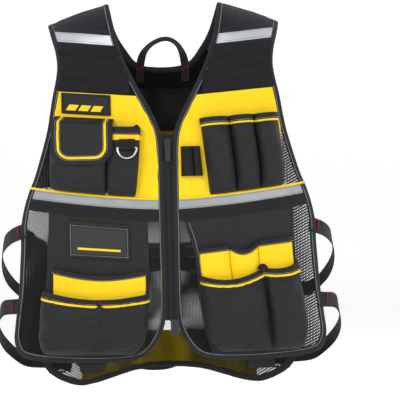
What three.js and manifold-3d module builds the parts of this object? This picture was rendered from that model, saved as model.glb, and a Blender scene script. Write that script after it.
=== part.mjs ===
import * as THREE from "three";
import { mergeVertices } from "three/addons/utils/BufferGeometryUtils.js";
import Module from "manifold-3d";

const wasm = await Module();
wasm.setup();

// A utility work vest, hanging as it is worn: net body, padded shoulders, pockets, a zip and side straps.
// Millimetres, +Z up. The front faces -Y, and the wearer's right side is at -X.
// The origin lies between the shoulders, at the height where they carry the vest.

// Driving dimensions of the whole vest.
const vest = {
  length: 645, // from the shoulders down to the lowest point of the back hem
  hemHalf: 264, // half the width at the hem
  depth: 118, // from the middle of the body out to the chest, and out to the back
  squareness: 2.3, // power of the rounded section seen from above
  seamHigh: 29, // the shoulder seam over the origin, at the middle of the vest
  seamFall: 84, // how far that seam would fall by the hem's half width
  shoulderRound: 60, // radius over the shoulder
  seamGap: 0.3, // between the front and the back at the shoulder seam
};

// Thicknesses of cloth and tape, and the gap left between two layers.
const cloth = { net: 1.2, panel: 1.2, trim: 1.2, wall: 1.5, gap: 0.3 };
const binding = { wide: 9, thick: 3, clear: 0.9 };
const belt = { tape: 15, webbing: 20, piping: 4 };
const zip = { thick: 1.4, chainWide: 6, chainHigh: 1.6 };
const webbing = { wide: 25, thick: 1.4 };

// Heights of the layers over the inside of the net.
const layer = {
  panel: cloth.net + cloth.gap,
  get trim() {
    return this.panel + cloth.panel + cloth.gap;
  },
};

// Rows of a table as objects with named columns.
const table = (heads, ...rows) =>
  rows.map((row) => Object.fromEntries(heads.map((head, i) => [head, row[i]])));

// The body at each height: down is a share of vest.length, wide of vest.hemHalf, and front and back of
// vest.depth.
const bodyLevels = table(
  ["down", "wide", "front", "back"],
  [-0.05, 0.98, 0.5, 0.55],
  [0.0, 0.98, 0.62, 0.66],
  [0.1, 0.97, 0.78, 0.82],
  [0.2, 0.975, 0.9, 0.93],
  [0.32, 0.99, 0.98, 0.97],
  [0.47, 1.01, 1.0, 0.92],
  [0.65, 1.04, 0.99, 0.87],
  [0.8, 1.07, 0.97, 0.88],
  [1.1, 1.1, 0.95, 0.95],
);

// Edges of the cut pieces. across is a share of vest.hemHalf and down of vest.length.
const edge = (...rows) => table(["across", "down"], ...rows);
const neckAndFrontEdge = edge(
  [0.368, -0.09],
  [0.352, -0.043],
  [0.326, 0.016],
  [0.299, 0.067],
  [0.258, 0.118],
  [0.201, 0.169],
  [0.152, 0.208],
  [0.102, 0.247],
  [0.068, 0.276],
  [0.045, 0.303],
  [0.033, 0.34],
  [0.03, 0.39],
  [0.03, 0.56],
  [0.03, 0.745],
  [0.04, 0.785],
  [0.062, 0.815],
  [0.114, 0.851],
  [0.174, 0.873],
);
const frontHem = edge([0.25, 0.883], [0.455, 0.888], [0.72, 0.885], [0.871, 0.879]);
const sideAndArmEdge = edge(
  [0.945, 0.868],
  [0.977, 0.835],
  [0.968, 0.788],
  [0.943, 0.71],
  [0.932, 0.647],
  [0.924, 0.598],
  [0.918, 0.535],
  [0.894, 0.488],
  [0.864, 0.45],
  [0.833, 0.42],
  [0.788, 0.363],
  [0.742, 0.295],
  [0.708, 0.216],
  [0.682, 0.166],
  [0.672, 0.132],
  [0.682, 0.093],
  [0.705, 0.059],
  [0.731, 0.019],
  [0.758, -0.03],
  [0.77, -0.09],
);
const backNeck = edge(
  [0.0, 0.13],
  [0.068, 0.129],
  [0.136, 0.124],
  [0.189, 0.11],
  [0.235, 0.085],
  [0.284, 0.053],
  [0.318, 0.019],
  [0.348, -0.031],
  [0.36, -0.09],
);
const backArmEdge = edge(
  [0.7, -0.09],
  [0.682, -0.02],
  [0.652, 0.031],
  [0.614, 0.093],
  [0.587, 0.147],
  [0.542, 0.203],
  [0.47, 0.287],
  [0.432, 0.364],
  [0.417, 0.442],
  [0.42, 0.504],
  [0.451, 0.555],
  [0.523, 0.605],
  [0.625, 0.642],
  [0.742, 0.667],
  [0.825, 0.695],
  [0.865, 0.745],
  [0.875, 0.815],
  [0.86, 0.871],
);
const backHem = edge(
  [0.818, 0.91],
  [0.765, 0.938],
  [0.686, 0.958],
  [0.583, 0.971],
  [0.485, 0.966],
  [0.364, 0.952],
  [0.235, 0.936],
  [0.114, 0.929],
  [0.0, 0.927],
);

// Plain mathematics.
const clamp = (value, low, high) => Math.min(Math.max(value, low), high);
const mix = (a, b, t) => a + (b - a) * t;
const ease = (t) => t * t * (3 - 2 * t);

// A column of a table at a place between its rows.
function between(rows, key, place, column) {
  const last = rows.length - 1;
  if (place <= rows[0][key]) return rows[0][column];
  if (place >= rows[last][key]) return rows[last][column];
  const i = rows.findIndex((row) => row[key] > place) - 1;
  const t = (place - rows[i][key]) / (rows[i + 1][key] - rows[i][key]);
  return mix(rows[i][column], rows[i + 1][column], t);
}

// The body's surface: FRONT or BACK, at x and z, raised by lift along its normal.
const FRONT = -1;
const BACK = 1;
const bodyHalf = (z) => vest.hemHalf * between(bodyLevels, "down", -z / vest.length, "wide");
const seamHeight = (x) =>
  vest.seamHigh - vest.seamFall * Math.pow(Math.min(Math.abs(x) / vest.hemHalf, 1), 2);

function bodyDepth(face, x, z) {
  const column = face === FRONT ? "front" : "back";
  const deep = vest.depth * between(bodyLevels, "down", -z / vest.length, column);
  const share = Math.min(Math.abs(x) / bodyHalf(z), 1);
  const round = clamp((seamHeight(x) - z) / vest.shoulderRound, 0, 1);
  const section = Math.pow(1 - Math.pow(share, vest.squareness), 1 / vest.squareness);
  return face * deep * section * Math.sqrt(1 - (1 - round) ** 2);
}

function bodyNormal(face, x, z) {
  const step = 1;
  const slopeX = bodyDepth(face, x + step, z) - bodyDepth(face, x - step, z);
  const slopeZ = bodyDepth(face, x, z + step) - bodyDepth(face, x, z - step);
  return new THREE.Vector3(-slopeX, 2 * step, -slopeZ).multiplyScalar(face).normalize();
}

function onBody(face, x, z, lift) {
  return new THREE.Vector3(x, bodyDepth(face, x, z), z).addScaledVector(
    bodyNormal(face, x, z),
    lift,
  );
}

// Solids from closed meshes and back.
function solidOf(geometry) {
  const bare = new THREE.BufferGeometry();
  bare.setAttribute("position", geometry.getAttribute("position").clone());
  if (geometry.index) bare.setIndex(geometry.index.clone());
  const merged = mergeVertices(bare, 1e-3);
  return new wasm.Manifold(
    new wasm.Mesh({
      numProp: 3,
      vertProperties: merged.getAttribute("position").array,
      triVerts: new Uint32Array(merged.index.array),
    }),
  );
}

function geometryOf(solid) {
  const mesh = solid.getMesh();
  const geometry = new THREE.BufferGeometry();
  geometry.setAttribute("position", new THREE.BufferAttribute(mesh.vertProperties, 3));
  geometry.setIndex(new THREE.BufferAttribute(mesh.triVerts, 1));
  geometry.computeVertexNormals();
  return geometry;
}

// A sheet of cloth as a closed solid. at(u, v, outer) gives its points, with u and v from the given lists.
// A sheet whose u runs round a loop is closed on itself.
function sheet(us, vs, at, loop = false) {
  const positions = [];
  const index = [];
  const wide = us.length;
  const side = wide * vs.length;
  for (const outer of [1, 0])
    for (const v of vs) for (const u of us) positions.push(...at(u, v, outer).toArray());
  const quad = (a, b, c, d) => index.push(a, b, c, a, c, d);
  const last = loop ? wide : wide - 1;
  for (let i = 0; i < last; i++) {
    const next = (i + 1) % wide;
    for (let j = 0; j < vs.length - 1; j++) {
      const [a, b, c, d] = [j * wide + i, j * wide + next, (j + 1) * wide + next, (j + 1) * wide + i];
      quad(a, b, c, d);
      quad(side + a, side + d, side + c, side + b);
    }
    const foot = (vs.length - 1) * wide;
    quad(i, side + i, side + next, next);
    quad(foot + i, foot + next, side + foot + next, side + foot + i);
  }
  for (let j = 0; j < vs.length - 1 && !loop; j++) {
    const [a, b] = [j * wide, (j + 1) * wide];
    quad(a, b, side + b, side + a);
    quad(a + wide - 1, side + a + wide - 1, side + b + wide - 1, b + wide - 1);
  }
  const geometry = new THREE.BufferGeometry();
  geometry.setAttribute("position", new THREE.BufferAttribute(new Float32Array(positions), 3));
  geometry.setIndex(index);
  const solid = solidOf(geometry);
  if (solid.volume() > 0) return solid;
  geometry.setIndex(index.map((_, i) => index[i - (i % 3) + [0, 2, 1][i % 3]]));
  return solidOf(geometry);
}

const steps = (from, to, count) =>
  Array.from({ length: count + 1 }, (_, i) => from + ((to - from) * i) / count);

// Columns across the body, as shares of its half width, and rows down from the shoulder seam.
const halfColumns = [0, 0.21, 0.42, 0.6, 0.75, 0.87, 0.97];
const bodyColumns = [...halfColumns.slice(1).map((share) => -share).reverse(), ...halfColumns];
const roundRows = [0, 0.1, 0.4, 1].map((share) => share * vest.shoulderRound);
const rowsBelowRound = 8;
const underHem = 60; // how far the layers run on past the longest piece before they are cut
const bodyRows = [
  ...roundRows,
  ...steps(vest.shoulderRound, vest.length + underHem, rowsBelowRound).slice(1),
];

// The place of a column and a row: the row hangs below the shoulder seam, so x and z settle together.
function gridPlace(share, fall) {
  let z = -fall;
  for (let turn = 0; turn < 6; turn++) z = seamHeight(share * bodyHalf(z)) - fall;
  return [share * bodyHalf(z), z];
}

// A layer of the whole front or back, from one height over the net's inside to another.
function slab(face, from, to) {
  return sheet(bodyColumns, bodyRows, (share, fall, outer) => {
    const [x, z] = gridPlace(share, fall);
    return onBody(face, x, z, outer ? to : from);
  });
}

// A prism through the front or the back, with an outline in x and z.
const farOut = 400;
function prism(face, outline) {
  const shape = new THREE.Shape(outline);
  const geometry = new THREE.ExtrudeGeometry(shape, { depth: farOut, bevelEnabled: false });
  geometry.rotateX(Math.PI / 2);
  geometry.translate(0, face === FRONT ? -vest.seamGap / 2 : farOut + vest.seamGap / 2, 0);
  return solidOf(geometry);
}

// The points of an edge, in x and z.
const pointsOf = (rows) =>
  rows.map((row) => new THREE.Vector2(row.across * vest.hemHalf, -row.down * vest.length));
const mirrored = (path) => path.map((point) => new THREE.Vector2(-point.x, point.y)).reverse();
const sideOf = (side, path) => (side > 0 ? path : mirrored(path));

// A path moved to its left by a distance. Every path here has the cloth on its left.
function moved(path, distance) {
  return path.map((point, i) => {
    const into = point.clone().sub(path[Math.max(i - 1, 0)]).normalize();
    const out = path[Math.min(i + 1, path.length - 1)].clone().sub(point).normalize();
    const along = into.clone().add(out).normalize();
    const turn = i === 0 || i === path.length - 1 ? 0 : into.angleTo(out);
    const stretch = 1 / Math.max(Math.cos(turn / 2), 0.6);
    return new THREE.Vector2(-along.y, along.x).multiplyScalar(distance * stretch).add(point);
  });
}

// Cuts a layer to an outline.
const cut = (face, from, to, outline) => slab(face, from, to).intersect(prism(face, outline));

// Trims what was built a little too deep, so that it sits on a layer with the usual gap.
const deepInside = 40;
function seat(solid, face, height) {
  const bodies = solid.subtract(slab(face, -deepInside, height)).decompose();
  return bodies.sort((a, b) => b.volume() - a.volume())[0];
}

// The finished group and its materials.
const group = new THREE.Group();
const dye = (color, roughness, metalness = 0) =>
  new THREE.MeshStandardMaterial({ color, roughness, metalness });
const finish = {
  net: dye(0x17181b, 0.85),
  airMesh: dye(0x1b1c20, 0.9),
  canvas: dye(0x2a2b30, 0.75),
  looped: dye(0x14161d, 0.95),
  slate: dye(0x565962, 0.7),
  yellow: dye(0xf9d30c, 0.6),
  reflective: dye(0xb4bac1, 0.35, 0.2),
  tape: dye(0x2c2d2f, 0.8),
  webbing: dye(0x202123, 0.8),
  plastic: dye(0x131315, 0.45),
  steel: dye(0xc9c6bf, 0.25, 1),
};

function add(name, solid, material) {
  const mesh = new THREE.Mesh(geometryOf(solid), material);
  mesh.name = name;
  group.add(mesh);
  return mesh;
}

// Both fronts and the back: the net, and the bound edges round it.
const frontPath = pointsOf([...neckAndFrontEdge, ...frontHem, ...sideAndArmEdge]);
const frontInside = moved(frontPath, binding.wide + binding.clear);
const neckHalf = pointsOf(backNeck);
const neckPath = [...neckHalf.slice(1).reverse(), ...mirrored(neckHalf).reverse()];
const outerHalf = pointsOf([...backArmEdge, ...backHem]);
const outerPath = [...mirrored(outerHalf).reverse(), ...outerHalf.slice(0, -1).reverse()];
const backInside = [
  ...moved(neckPath, binding.wide + binding.clear),
  ...moved(outerPath, binding.wide + binding.clear),
];

const inFront = (outline) => prism(FRONT, outline);
const wholeFace = [
  new THREE.Vector2(-farOut, farOut),
  new THREE.Vector2(-farOut, -2 * farOut),
  new THREE.Vector2(farOut, -2 * farOut),
  new THREE.Vector2(farOut, farOut),
];
const sides = [
  { name: "right", sign: -1 },
  { name: "left", sign: 1 },
];

// A path's end that lies over the shoulder seam is drawn back to it along its last stretch.
function toSeam(end, next) {
  const fall = (point) => seamHeight(point.x) - point.y;
  const share = fall(next) / (fall(next) - fall(end));
  return next.clone().lerp(end, clamp(share, 0, 1));
}

// A folded binding over an edge of the cloth, from seam to seam.
function boundEdge(face, path) {
  const low = (cloth.net - binding.thick) / 2 + cloth.gap;
  const under = (point) => point.y < seamHeight(point.x);
  const first = path.findIndex(under);
  const last = path.findLastIndex(under);
  const [outer, inner] = [path, moved(path, binding.wide)].map((edgePath) => [
    toSeam(edgePath[first - 1], edgePath[first]),
    ...edgePath.slice(first, last + 1),
    toSeam(edgePath[last + 1], edgePath[last]),
  ]);
  const strip = sheet([...outer.keys()], [outer, inner], (i, points, over) => {
    const { x, y: z } = points[i];
    const out = bodyNormal(face, x, z).setX(0).normalize();
    const lift = low + (over ? binding.thick : 0);
    return new THREE.Vector3(x, bodyDepth(face, x, z), z).addScaledVector(out, lift);
  });
  return strip.intersect(prism(face, wholeFace));
}

function addShell() {
  for (const { name, sign } of sides) {
    add(`front_net_${name}`, cut(FRONT, 0, cloth.net, sideOf(sign, frontInside)), finish.net);
    const path = sign > 0 ? frontPath : mirrored(frontPath);
    add(`front_binding_${name}`, boundEdge(FRONT, path), finish.tape);
  }
  add("back_net", cut(BACK, 0, cloth.net, backInside), finish.net);
  add("neck_binding", boundEdge(BACK, neckPath), finish.tape);
  add("back_binding", boundEdge(BACK, outerPath), finish.tape);
}

// Lines that run across the vest, as heights at x.
const beltLine = { down: 0.4775, rise: 0.044, bend: 1.6 };
const beltTop = (x) =>
  -vest.length *
  (beltLine.down - beltLine.rise * Math.pow(Math.min(Math.abs(x) / vest.hemHalf, 1), beltLine.bend));
const beltTapeFoot = (x) => beltTop(x) - belt.tape;
const beltFoot = (x) => beltTapeFoot(x) - cloth.gap - belt.webbing;
const slant = (near, far, nearAcross, farAcross) => (x) =>
  -vest.length *
  mix(near, far, (Math.abs(x) / vest.hemHalf - nearAcross) / (farAcross - nearAcross));

// The area between two lines, from one place across to another, as an outline.
const bendCount = 6; // stretches in a bent line
function bandOutline(top, foot, from, to, count = bendCount) {
  const xs = steps(from, to, count);
  return [
    ...xs.map((x) => new THREE.Vector2(x, foot(x))),
    ...xs.reverse().map((x) => new THREE.Vector2(x, top(x))),
  ];
}

// The ribbed shoulder: where each part of it starts, near the neck and at the arm, going down.
const shoulder = { neck: 0.3, arm: 0.7 };
const shoulderLines = table(
  ["part", "neck", "arm"],
  ["tape", 0.0581, 0.0419],
  ["pad", 0.0825, 0.0667],
  ["yellow", 0.2077, 0.194],
);
const shoulderLine = (part) => {
  const row = shoulderLines.find((line) => line.part === part);
  return slant(row.neck, row.arm, shoulder.neck, shoulder.arm);
};
const ribs = { count: 4, high: 4.5 };

// A padded shoulder of rounded ribs that follow the lines above and below it.
function ribbedPad(sign) {
  const top = shoulderLine("pad");
  const foot = shoulderLine("yellow");
  const xs = steps(0.24, 0.78, 4).map((share) => sign * share * vest.hemHalf);
  const rowsPerRib = 3;
  const rib = sheet(xs, steps(0, ribs.count, ribs.count * rowsPerRib), (x, row, outer) => {
    const z = mix(top(x) + 1, foot(x) - 1, row / ribs.count);
    const plump = ribs.high * Math.sqrt(Math.abs(Math.sin(row * Math.PI)));
    return onBody(FRONT, x, z, outer ? layer.panel + cloth.panel + plump : 0);
  });
  const outline = bandOutline(
    (x) => top(x) - cloth.gap,
    (x) => foot(x) + cloth.gap,
    0,
    vest.hemHalf,
    1,
  );
  return seat(rib.intersect(inFront(sideOf(sign, outline))), FRONT, layer.panel);
}

const chestFar = 0.712; // where the yellow cloth stops and bare net begins
const aboveSeam = 60;
const tapeStand = 2; // how far the shoulder tape stands up, over the end of the padding

function addShoulders() {
  const top = () => aboveSeam;
  const tapeTop = shoulderLine("tape");
  const padTop = shoulderLine("pad");
  const capFoot = (x) => tapeTop(x) + cloth.gap;
  const low = layer.panel;
  const high = layer.panel + cloth.panel;
  for (const { name, sign } of sides) {
    const inside = inFront(sideOf(sign, frontInside));
    const strip = (to, above, below) => {
      const outline = bandOutline(above, below, 0, vest.hemHalf, 1);
      return cut(FRONT, low, to, sideOf(sign, outline)).intersect(inside);
    };
    add(`shoulder_cap_${name}`, strip(high, top, capFoot), finish.looped);
    add(`shoulder_tape_${name}`, strip(high + tapeStand, tapeTop, padTop), finish.reflective);
    add(`shoulder_pad_${name}`, ribbedPad(sign).intersect(inside), finish.airMesh);
  }
}

// The yellow chest, with its backing under the belt, in one outline.
function chestOutline() {
  const far = chestFar * vest.hemHalf;
  const yellowTop = shoulderLine("yellow");
  const at = (x, line) => new THREE.Vector2(x, line(x));
  const pipingTop = (x) => beltTop(x) + belt.piping;
  return [
    ...steps(0, vest.hemHalf, bendCount).map((x) => at(x, beltFoot)),
    ...steps(vest.hemHalf, far, 2).map((x) => at(x, pipingTop)),
    at(far, yellowTop),
    at(0, yellowTop),
  ];
}

function addChest() {
  for (const { name, sign } of sides) {
    const inside = inFront(sideOf(sign, frontInside));
    const fitted = (low, thick, outline) =>
      cut(FRONT, low, low + thick, sideOf(sign, outline)).intersect(inside);
    add(`chest_panel_${name}`, fitted(layer.panel, cloth.panel, chestOutline()), finish.yellow);
    const tape = bandOutline(beltTop, beltTapeFoot, 0, vest.hemHalf);
    add(`chest_tape_${name}`, fitted(layer.trim, cloth.trim, tape), finish.reflective);
    const webbingTop = (x) => beltTapeFoot(x) - cloth.gap;
    const band = bandOutline(webbingTop, beltFoot, 0, vest.hemHalf);
    add(`waist_webbing_${name}`, fitted(layer.trim, cloth.trim, band), finish.webbing);
  }
}

// Pockets are hollow trays, open at the top. Their rows go down from the top edge (b is 0) to the foot (1).
// near is the edge by the zip and far the edge by the side, as shares of vest.hemHalf, and plump is a share
// of the depth.
const pocketRows = (...rows) => table(["b", "near", "far", "plump"], ...rows);
const pocketColumns = [0, 0.05, 0.18, 0.4, 0.6, 0.82, 0.95, 1];
const lobeColumns = [0, 0.1, 0.35, 0.65, 0.9, 1];
const roundness = { box: 5, tube: 2.2 };

// A pocket's columns: each stretch between two seams is a lobe of its own.
function lobesOf(seams) {
  const columns = seams.length > 2 ? lobeColumns : pocketColumns;
  return seams.slice(1).flatMap((to, i) =>
    columns.slice(i === 0 ? 0 : 1).map((share) => mix(seams[i], to, share)),
  );
}

function lobeAt(seams, a) {
  const i = Math.max(seams.findIndex((seam, n) => n > 0 && a <= seam + 1e-6), 1);
  const share = clamp((a - seams[i - 1]) / (seams[i] - seams[i - 1]), 0, 1);
  const inner = share < 0.5 ? i > 1 : i < seams.length - 1;
  return { share, inner };
}

// How far the pocket's outer face stands off its backing. An inner seam may be held off it by seamLift.
const sewn = cloth.wall * 0.9;
function pocketLift(spec, a, b) {
  const { share, inner } = lobeAt(spec.seams, a);
  const arch = Math.pow(1 - Math.pow(Math.abs(2 * share - 1), spec.round), 1 / spec.round);
  const plump = between(spec.rows, "b", b, "plump");
  const fold = spec.fold ? spec.fold(a, b) : 0;
  const held = inner && spec.seamLift ? spec.seamLift * Math.min(2 * plump, 1) : 0;
  return Math.max(spec.depth * plump * arch - fold * plump, held, sewn);
}

// A border draws the pocket's sides and foot in, and leaves its middle where it is.
const sideShare = 0.3;
function pocketPlace(spec, a, b, border) {
  const near = between(spec.rows, "b", b, "near") * vest.hemHalf;
  const far = between(spec.rows, "b", b, "far") * vest.hemHalf;
  const draw = Math.max(1 - a / sideShare, 0) - Math.max(1 - (1 - a) / sideShare, 0);
  const x = mix(near, far, a) + border * draw;
  const top = spec.top(x) - (spec.dip ? spec.dip(a) : 0);
  return [spec.sign * x, mix(top, spec.foot(x) + border, b)];
}

const sink = 6; // how far a pocket's edges are built into the body before they are trimmed
function pocketSkin(spec, out, thick, from = 0, to = 1, open = false) {
  const bs = spec.rows.map((row) => row.b);
  const rows = [from, ...bs.filter((b) => b > from && b < to), to];
  return sheet(lobesOf(spec.seams), rows, (a, b, outer) => {
    const edgeHere = a === 0 || a === 1 || (b === 1 && !open);
    const [x, z] = pocketPlace(spec, a, b, outer ? -out : thick - out);
    const lift = pocketLift(spec, a, b) + out - (outer ? 0 : thick);
    return onBody(FRONT, x, z, edgeHere ? spec.base - sink : spec.base + lift);
  });
}

const pocketOf = (spec) => seat(pocketSkin(spec, 0, cloth.wall), FRONT, spec.base);

// The binding over a pocket's top edge, just clear of its outer face.
function pocketBand(spec, high) {
  const [x] = pocketPlace(spec, 0.5, 0, 0);
  const share = high / (spec.top(Math.abs(x)) - spec.foot(Math.abs(x)));
  const skin = pocketSkin(spec, cloth.gap + cloth.trim, cloth.trim + cloth.gap, 0, share, true);
  const rows = [-0.05, ...spec.rows.map((row) => row.b)];
  const core = sheet(lobesOf(spec.seams), rows, (a, b, outer) => {
    const [px, z] = pocketPlace(spec, a, b, -cloth.gap);
    return onBody(FRONT, px, z, spec.base + (outer ? pocketLift(spec, a, b) + cloth.gap : -sink));
  });
  return seat(skin.subtract(core), FRONT, spec.base);
}

// A pocket's open edge sags between two places across it.
const topDip = { wide: 11, narrow: 5 };
const sag = (from, to, deep) => (a) =>
  a > from && a < to ? deep * Math.sin((Math.PI * (a - from)) / (to - from)) : 0;

const onPiping = (x) => beltTop(x) + belt.piping + cloth.gap;
const footLine = 0.869; // the foot of the lower pockets, above the bound hem
const onHem = () => -footLine * vest.length;
const rearFoot = 8; // how far over that line the pockets behind end

const flapPocket = {
  sign: -1,
  base: layer.trim,
  depth: 26,
  round: roundness.box,
  seams: [0, 1],
  top: slant(0.304, 0.292, 0.371, 0.72),
  foot: onPiping,
  rows: pocketRows(
    [0, 0.372, 0.695, 0.8],
    [0.35, 0.372, 0.703, 0.95],
    [0.75, 0.376, 0.712, 1],
    [0.93, 0.38, 0.712, 0.75],
    [1, 0.39, 0.704, 0],
  ),
};
const flap = {
  near: 0.327,
  far: 0.712,
  top: 0.27,
  topFar: 0.259,
  foot: 0.3845,
  corner: 0.3, // the share of its height that is rounded
  shoulder: 0.16, // the share of its height in which it rises over the pocket
  fall: 0.1, // how far its sides lean back, as a share of the pocket's depth
  clear: 1.2,
  thick: 2.2,
};
const penPocket = {
  sign: -1,
  base: layer.trim,
  depth: 20,
  round: roundness.box,
  seams: [0, 1],
  top: slant(0.295, 0.293, 0.167, 0.36),
  foot: onPiping,
  rows: pocketRows(
    [0, 0.168, 0.356, 1],
    [0.3, 0.172, 0.357, 1],
    [0.65, 0.186, 0.36, 1],
    [0.92, 0.199, 0.362, 0.8],
    [1, 0.21, 0.355, 0],
  ),
};
const penBandHigh = 12;
const tubePockets = {
  sign: 1,
  base: layer.trim,
  depth: 25,
  round: roundness.tube,
  seams: [0, 0.365, 0.685, 1],
  top: slant(0.2745, 0.262, 0.205, 0.7),
  foot: onPiping,
  rows: pocketRows(
    [0, 0.205, 0.68, 0.72],
    [0.3, 0.22, 0.694, 0.95],
    [0.7, 0.242, 0.712, 1],
    [0.93, 0.253, 0.714, 0.7],
    [1, 0.262, 0.71, 0],
  ),
};
const rearRight = {
  sign: -1,
  base: layer.trim,
  depth: 8,
  round: roundness.box,
  seams: [0, 1],
  top: slant(0.656, 0.645, 0.139, 0.735),
  dip: sag(0, 1, topDip.wide),
  foot: () => onHem() + rearFoot,
  rows: pocketRows(
    [0, 0.152, 0.72, 1],
    [0.25, 0.152, 0.722, 1],
    [0.9, 0.2, 0.74, 0.9],
    [1, 0.23, 0.73, 0],
  ),
};
const pleat = { middle: 0.45, wide: 0.075, deep: 6 };
const pleatPocket = {
  sign: -1,
  base: layer.trim,
  depth: 30,
  round: roundness.box,
  seams: [0, 1],
  top: slant(0.715, 0.704, 0.133, 0.776),
  dip: sag(0, 1, topDip.wide),
  fold: (a, b) => {
    const off = Math.abs(a - pleat.middle) / (pleat.wide * (1.15 - b));
    return off < 1 ? pleat.deep * (1 - ease(off)) : 0;
  },
  foot: onHem,
  rows: pocketRows(
    [0, 0.136, 0.774, 0.75],
    [0.2, 0.138, 0.785, 0.92],
    [0.55, 0.15, 0.798, 1],
    [0.8, 0.172, 0.8, 0.95],
    [0.94, 0.215, 0.785, 0.7],
    [1, 0.26, 0.76, 0],
  ),
};
const rearLeft = {
  sign: 1,
  base: layer.trim,
  depth: 9,
  round: 3,
  seams: [0, 0.32, 0.63, 1],
  top: slant(0.605, 0.578, 0.17, 0.77),
  dip: sag(0.32, 0.63, topDip.wide),
  foot: () => onHem() + rearFoot,
  rows: pocketRows(
    [0, 0.183, 0.758, 1],
    [0.2, 0.19, 0.766, 1],
    [0.9, 0.27, 0.815, 0.9],
    [1, 0.3, 0.8, 0],
  ),
};
const twinPocket = {
  sign: 1,
  base: layer.trim,
  depth: 30,
  round: 3.2,
  seams: [0, 0.64, 1],
  seamLift: rearLeft.depth + cloth.wall + 2 * cloth.gap,
  top: slant(0.674, 0.645, 0.189, 0.78),
  dip: (a) => sag(0, 0.64, topDip.wide)(a) + sag(0.64, 1, topDip.narrow)(a),
  foot: onHem,
  rows: pocketRows(
    [0, 0.189, 0.782, 0.72],
    [0.2, 0.195, 0.797, 0.92],
    [0.55, 0.213, 0.818, 1],
    [0.8, 0.238, 0.826, 0.95],
    [0.94, 0.275, 0.815, 0.7],
    [1, 0.315, 0.79, 0],
  ),
};
const toolWebbing = {
  sign: 1,
  base: layer.trim,
  depth: 8,
  round: 2.6,
  seams: [0, 0.6, 1],
  top: () => -0.342 * vest.length,
  foot: () => -0.418 * vest.length,
  rows: pocketRows([0, 0.082, 0.2, 1], [0.5, 0.082, 0.208, 1], [1, 0.082, 0.216, 1]),
};

const windowPocket = {
  sign: -1,
  base: layer.trim,
  depth: 3.5,
  round: roundness.box,
  seams: [0, 1],
  top: slant(0.54, 0.524, 0.242, 0.625),
  foot: slant(0.628, 0.617, 0.242, 0.625),
  rows: pocketRows([0, 0.242, 0.625, 1], [0.9, 0.242, 0.625, 1], [1, 0.242, 0.625, 0]),
};
const lowerPanelRight = edge(
  [0.13, 0.66],
  [0.145, 0.75],
  [0.17, 0.82],
  [0.21, 0.88],
  [0.76, 0.88],
  [0.795, 0.84],
  [0.79, 0.75],
  [0.765, 0.66],
);
const lowerPanelLeft = edge(
  [0.144, 0.595],
  [0.167, 0.66],
  [0.182, 0.738],
  [0.212, 0.816],
  [0.262, 0.88],
  [0.79, 0.88],
  [0.84, 0.84],
  [0.838, 0.769],
  [0.812, 0.693],
  [0.782, 0.616],
);
const lowerPanels = [
  { name: "right", sign: -1, rows: lowerPanelRight, near: 0.13, far: 0.74 },
  { name: "left", sign: 1, rows: lowerPanelLeft, near: 0.102, far: 0.771 },
];

function lowerPanel({ sign, rows, near, far }) {
  const xs = steps(far * vest.hemHalf, near * vest.hemHalf, bendCount);
  const top = xs.map((x) => new THREE.Vector2(x, beltFoot(x) - cloth.gap));
  const outline = sideOf(sign, [...pointsOf(rows), ...top]);
  const panel = cut(FRONT, layer.panel, layer.panel + cloth.panel, outline);
  return panel.intersect(inFront(sideOf(sign, frontInside)));
}

// The flap hangs over its pocket from a seam above it, with round lower corners.
function pocketFlap() {
  const us = [0, 0.07, 0.2, 0.4, 0.6, 0.8, 0.93, 1];
  const vs = [0, 0.06, 0.16, 0.35, 0.6, 0.8, 0.92, 1];
  const near = flap.near * vest.hemHalf;
  const far = flap.far * vest.hemHalf;
  return sheet(us, vs, (u, v, outer) => {
    const rounded = clamp((v - 1 + flap.corner) / flap.corner, 0, 1);
    const draw = ((1 - Math.sqrt(1 - rounded ** 2)) * flap.corner) / 2;
    const x = mix(near, far, mix(draw, 1 - draw, u));
    const top = -vest.length * mix(flap.top, flap.topFar, u);
    const z = mix(top, -vest.length * flap.foot, v);
    const edgeFall = flap.fall * Math.pow(Math.abs(2 * u - 1), 4);
    const stand = flapPocket.depth * (1 - edgeFall) * ease(Math.min(v / flap.shoulder, 1));
    return onBody(FRONT, -x, z, flapPocket.base + flap.clear + stand + (outer ? flap.thick : 0));
  });
}

function addUpperPockets() {
  add("flap_pocket", pocketOf(flapPocket), finish.canvas);
  add("pocket_flap", seat(pocketFlap(), FRONT, flapPocket.base), finish.canvas);
  add("pen_pocket", pocketOf(penPocket), finish.canvas);
  add("pen_pocket_band", pocketBand(penPocket, penBandHigh), finish.tape);
  add("tube_pockets", pocketOf(tubePockets), finish.canvas);
  add("tube_pocket_band", pocketBand(tubePockets, binding.wide + belt.piping), finish.tape);
  const loops = pocketSkin(toolWebbing, 0, cloth.wall, 0, 1, true);
  add("tool_webbing", seat(loops, FRONT, toolWebbing.base), finish.webbing);
}

function addLowerPockets() {
  for (const panel of lowerPanels) add(`lower_panel_${panel.name}`, lowerPanel(panel), finish.canvas);
  add("window_pocket", pocketOf(windowPocket), finish.canvas);
  add("yellow_pocket_right", pocketOf(rearRight), finish.yellow);
  add("pleat_pocket", pocketOf(pleatPocket), finish.canvas);
  add("pleat_pocket_band", pocketBand(pleatPocket, binding.wide + belt.piping), finish.tape);
  add("yellow_pockets_left", pocketOf(rearLeft), finish.yellow);
  add("twin_pocket", pocketOf(twinPocket), finish.canvas);
  add("twin_pocket_band", pocketBand(twinPocket, binding.wide + belt.piping), finish.tape);
}

// The badge is a plain patch sewn on the chest.
const badge = { nearAcross: 0.345, farAcross: 0.648, high: 34 };

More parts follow.
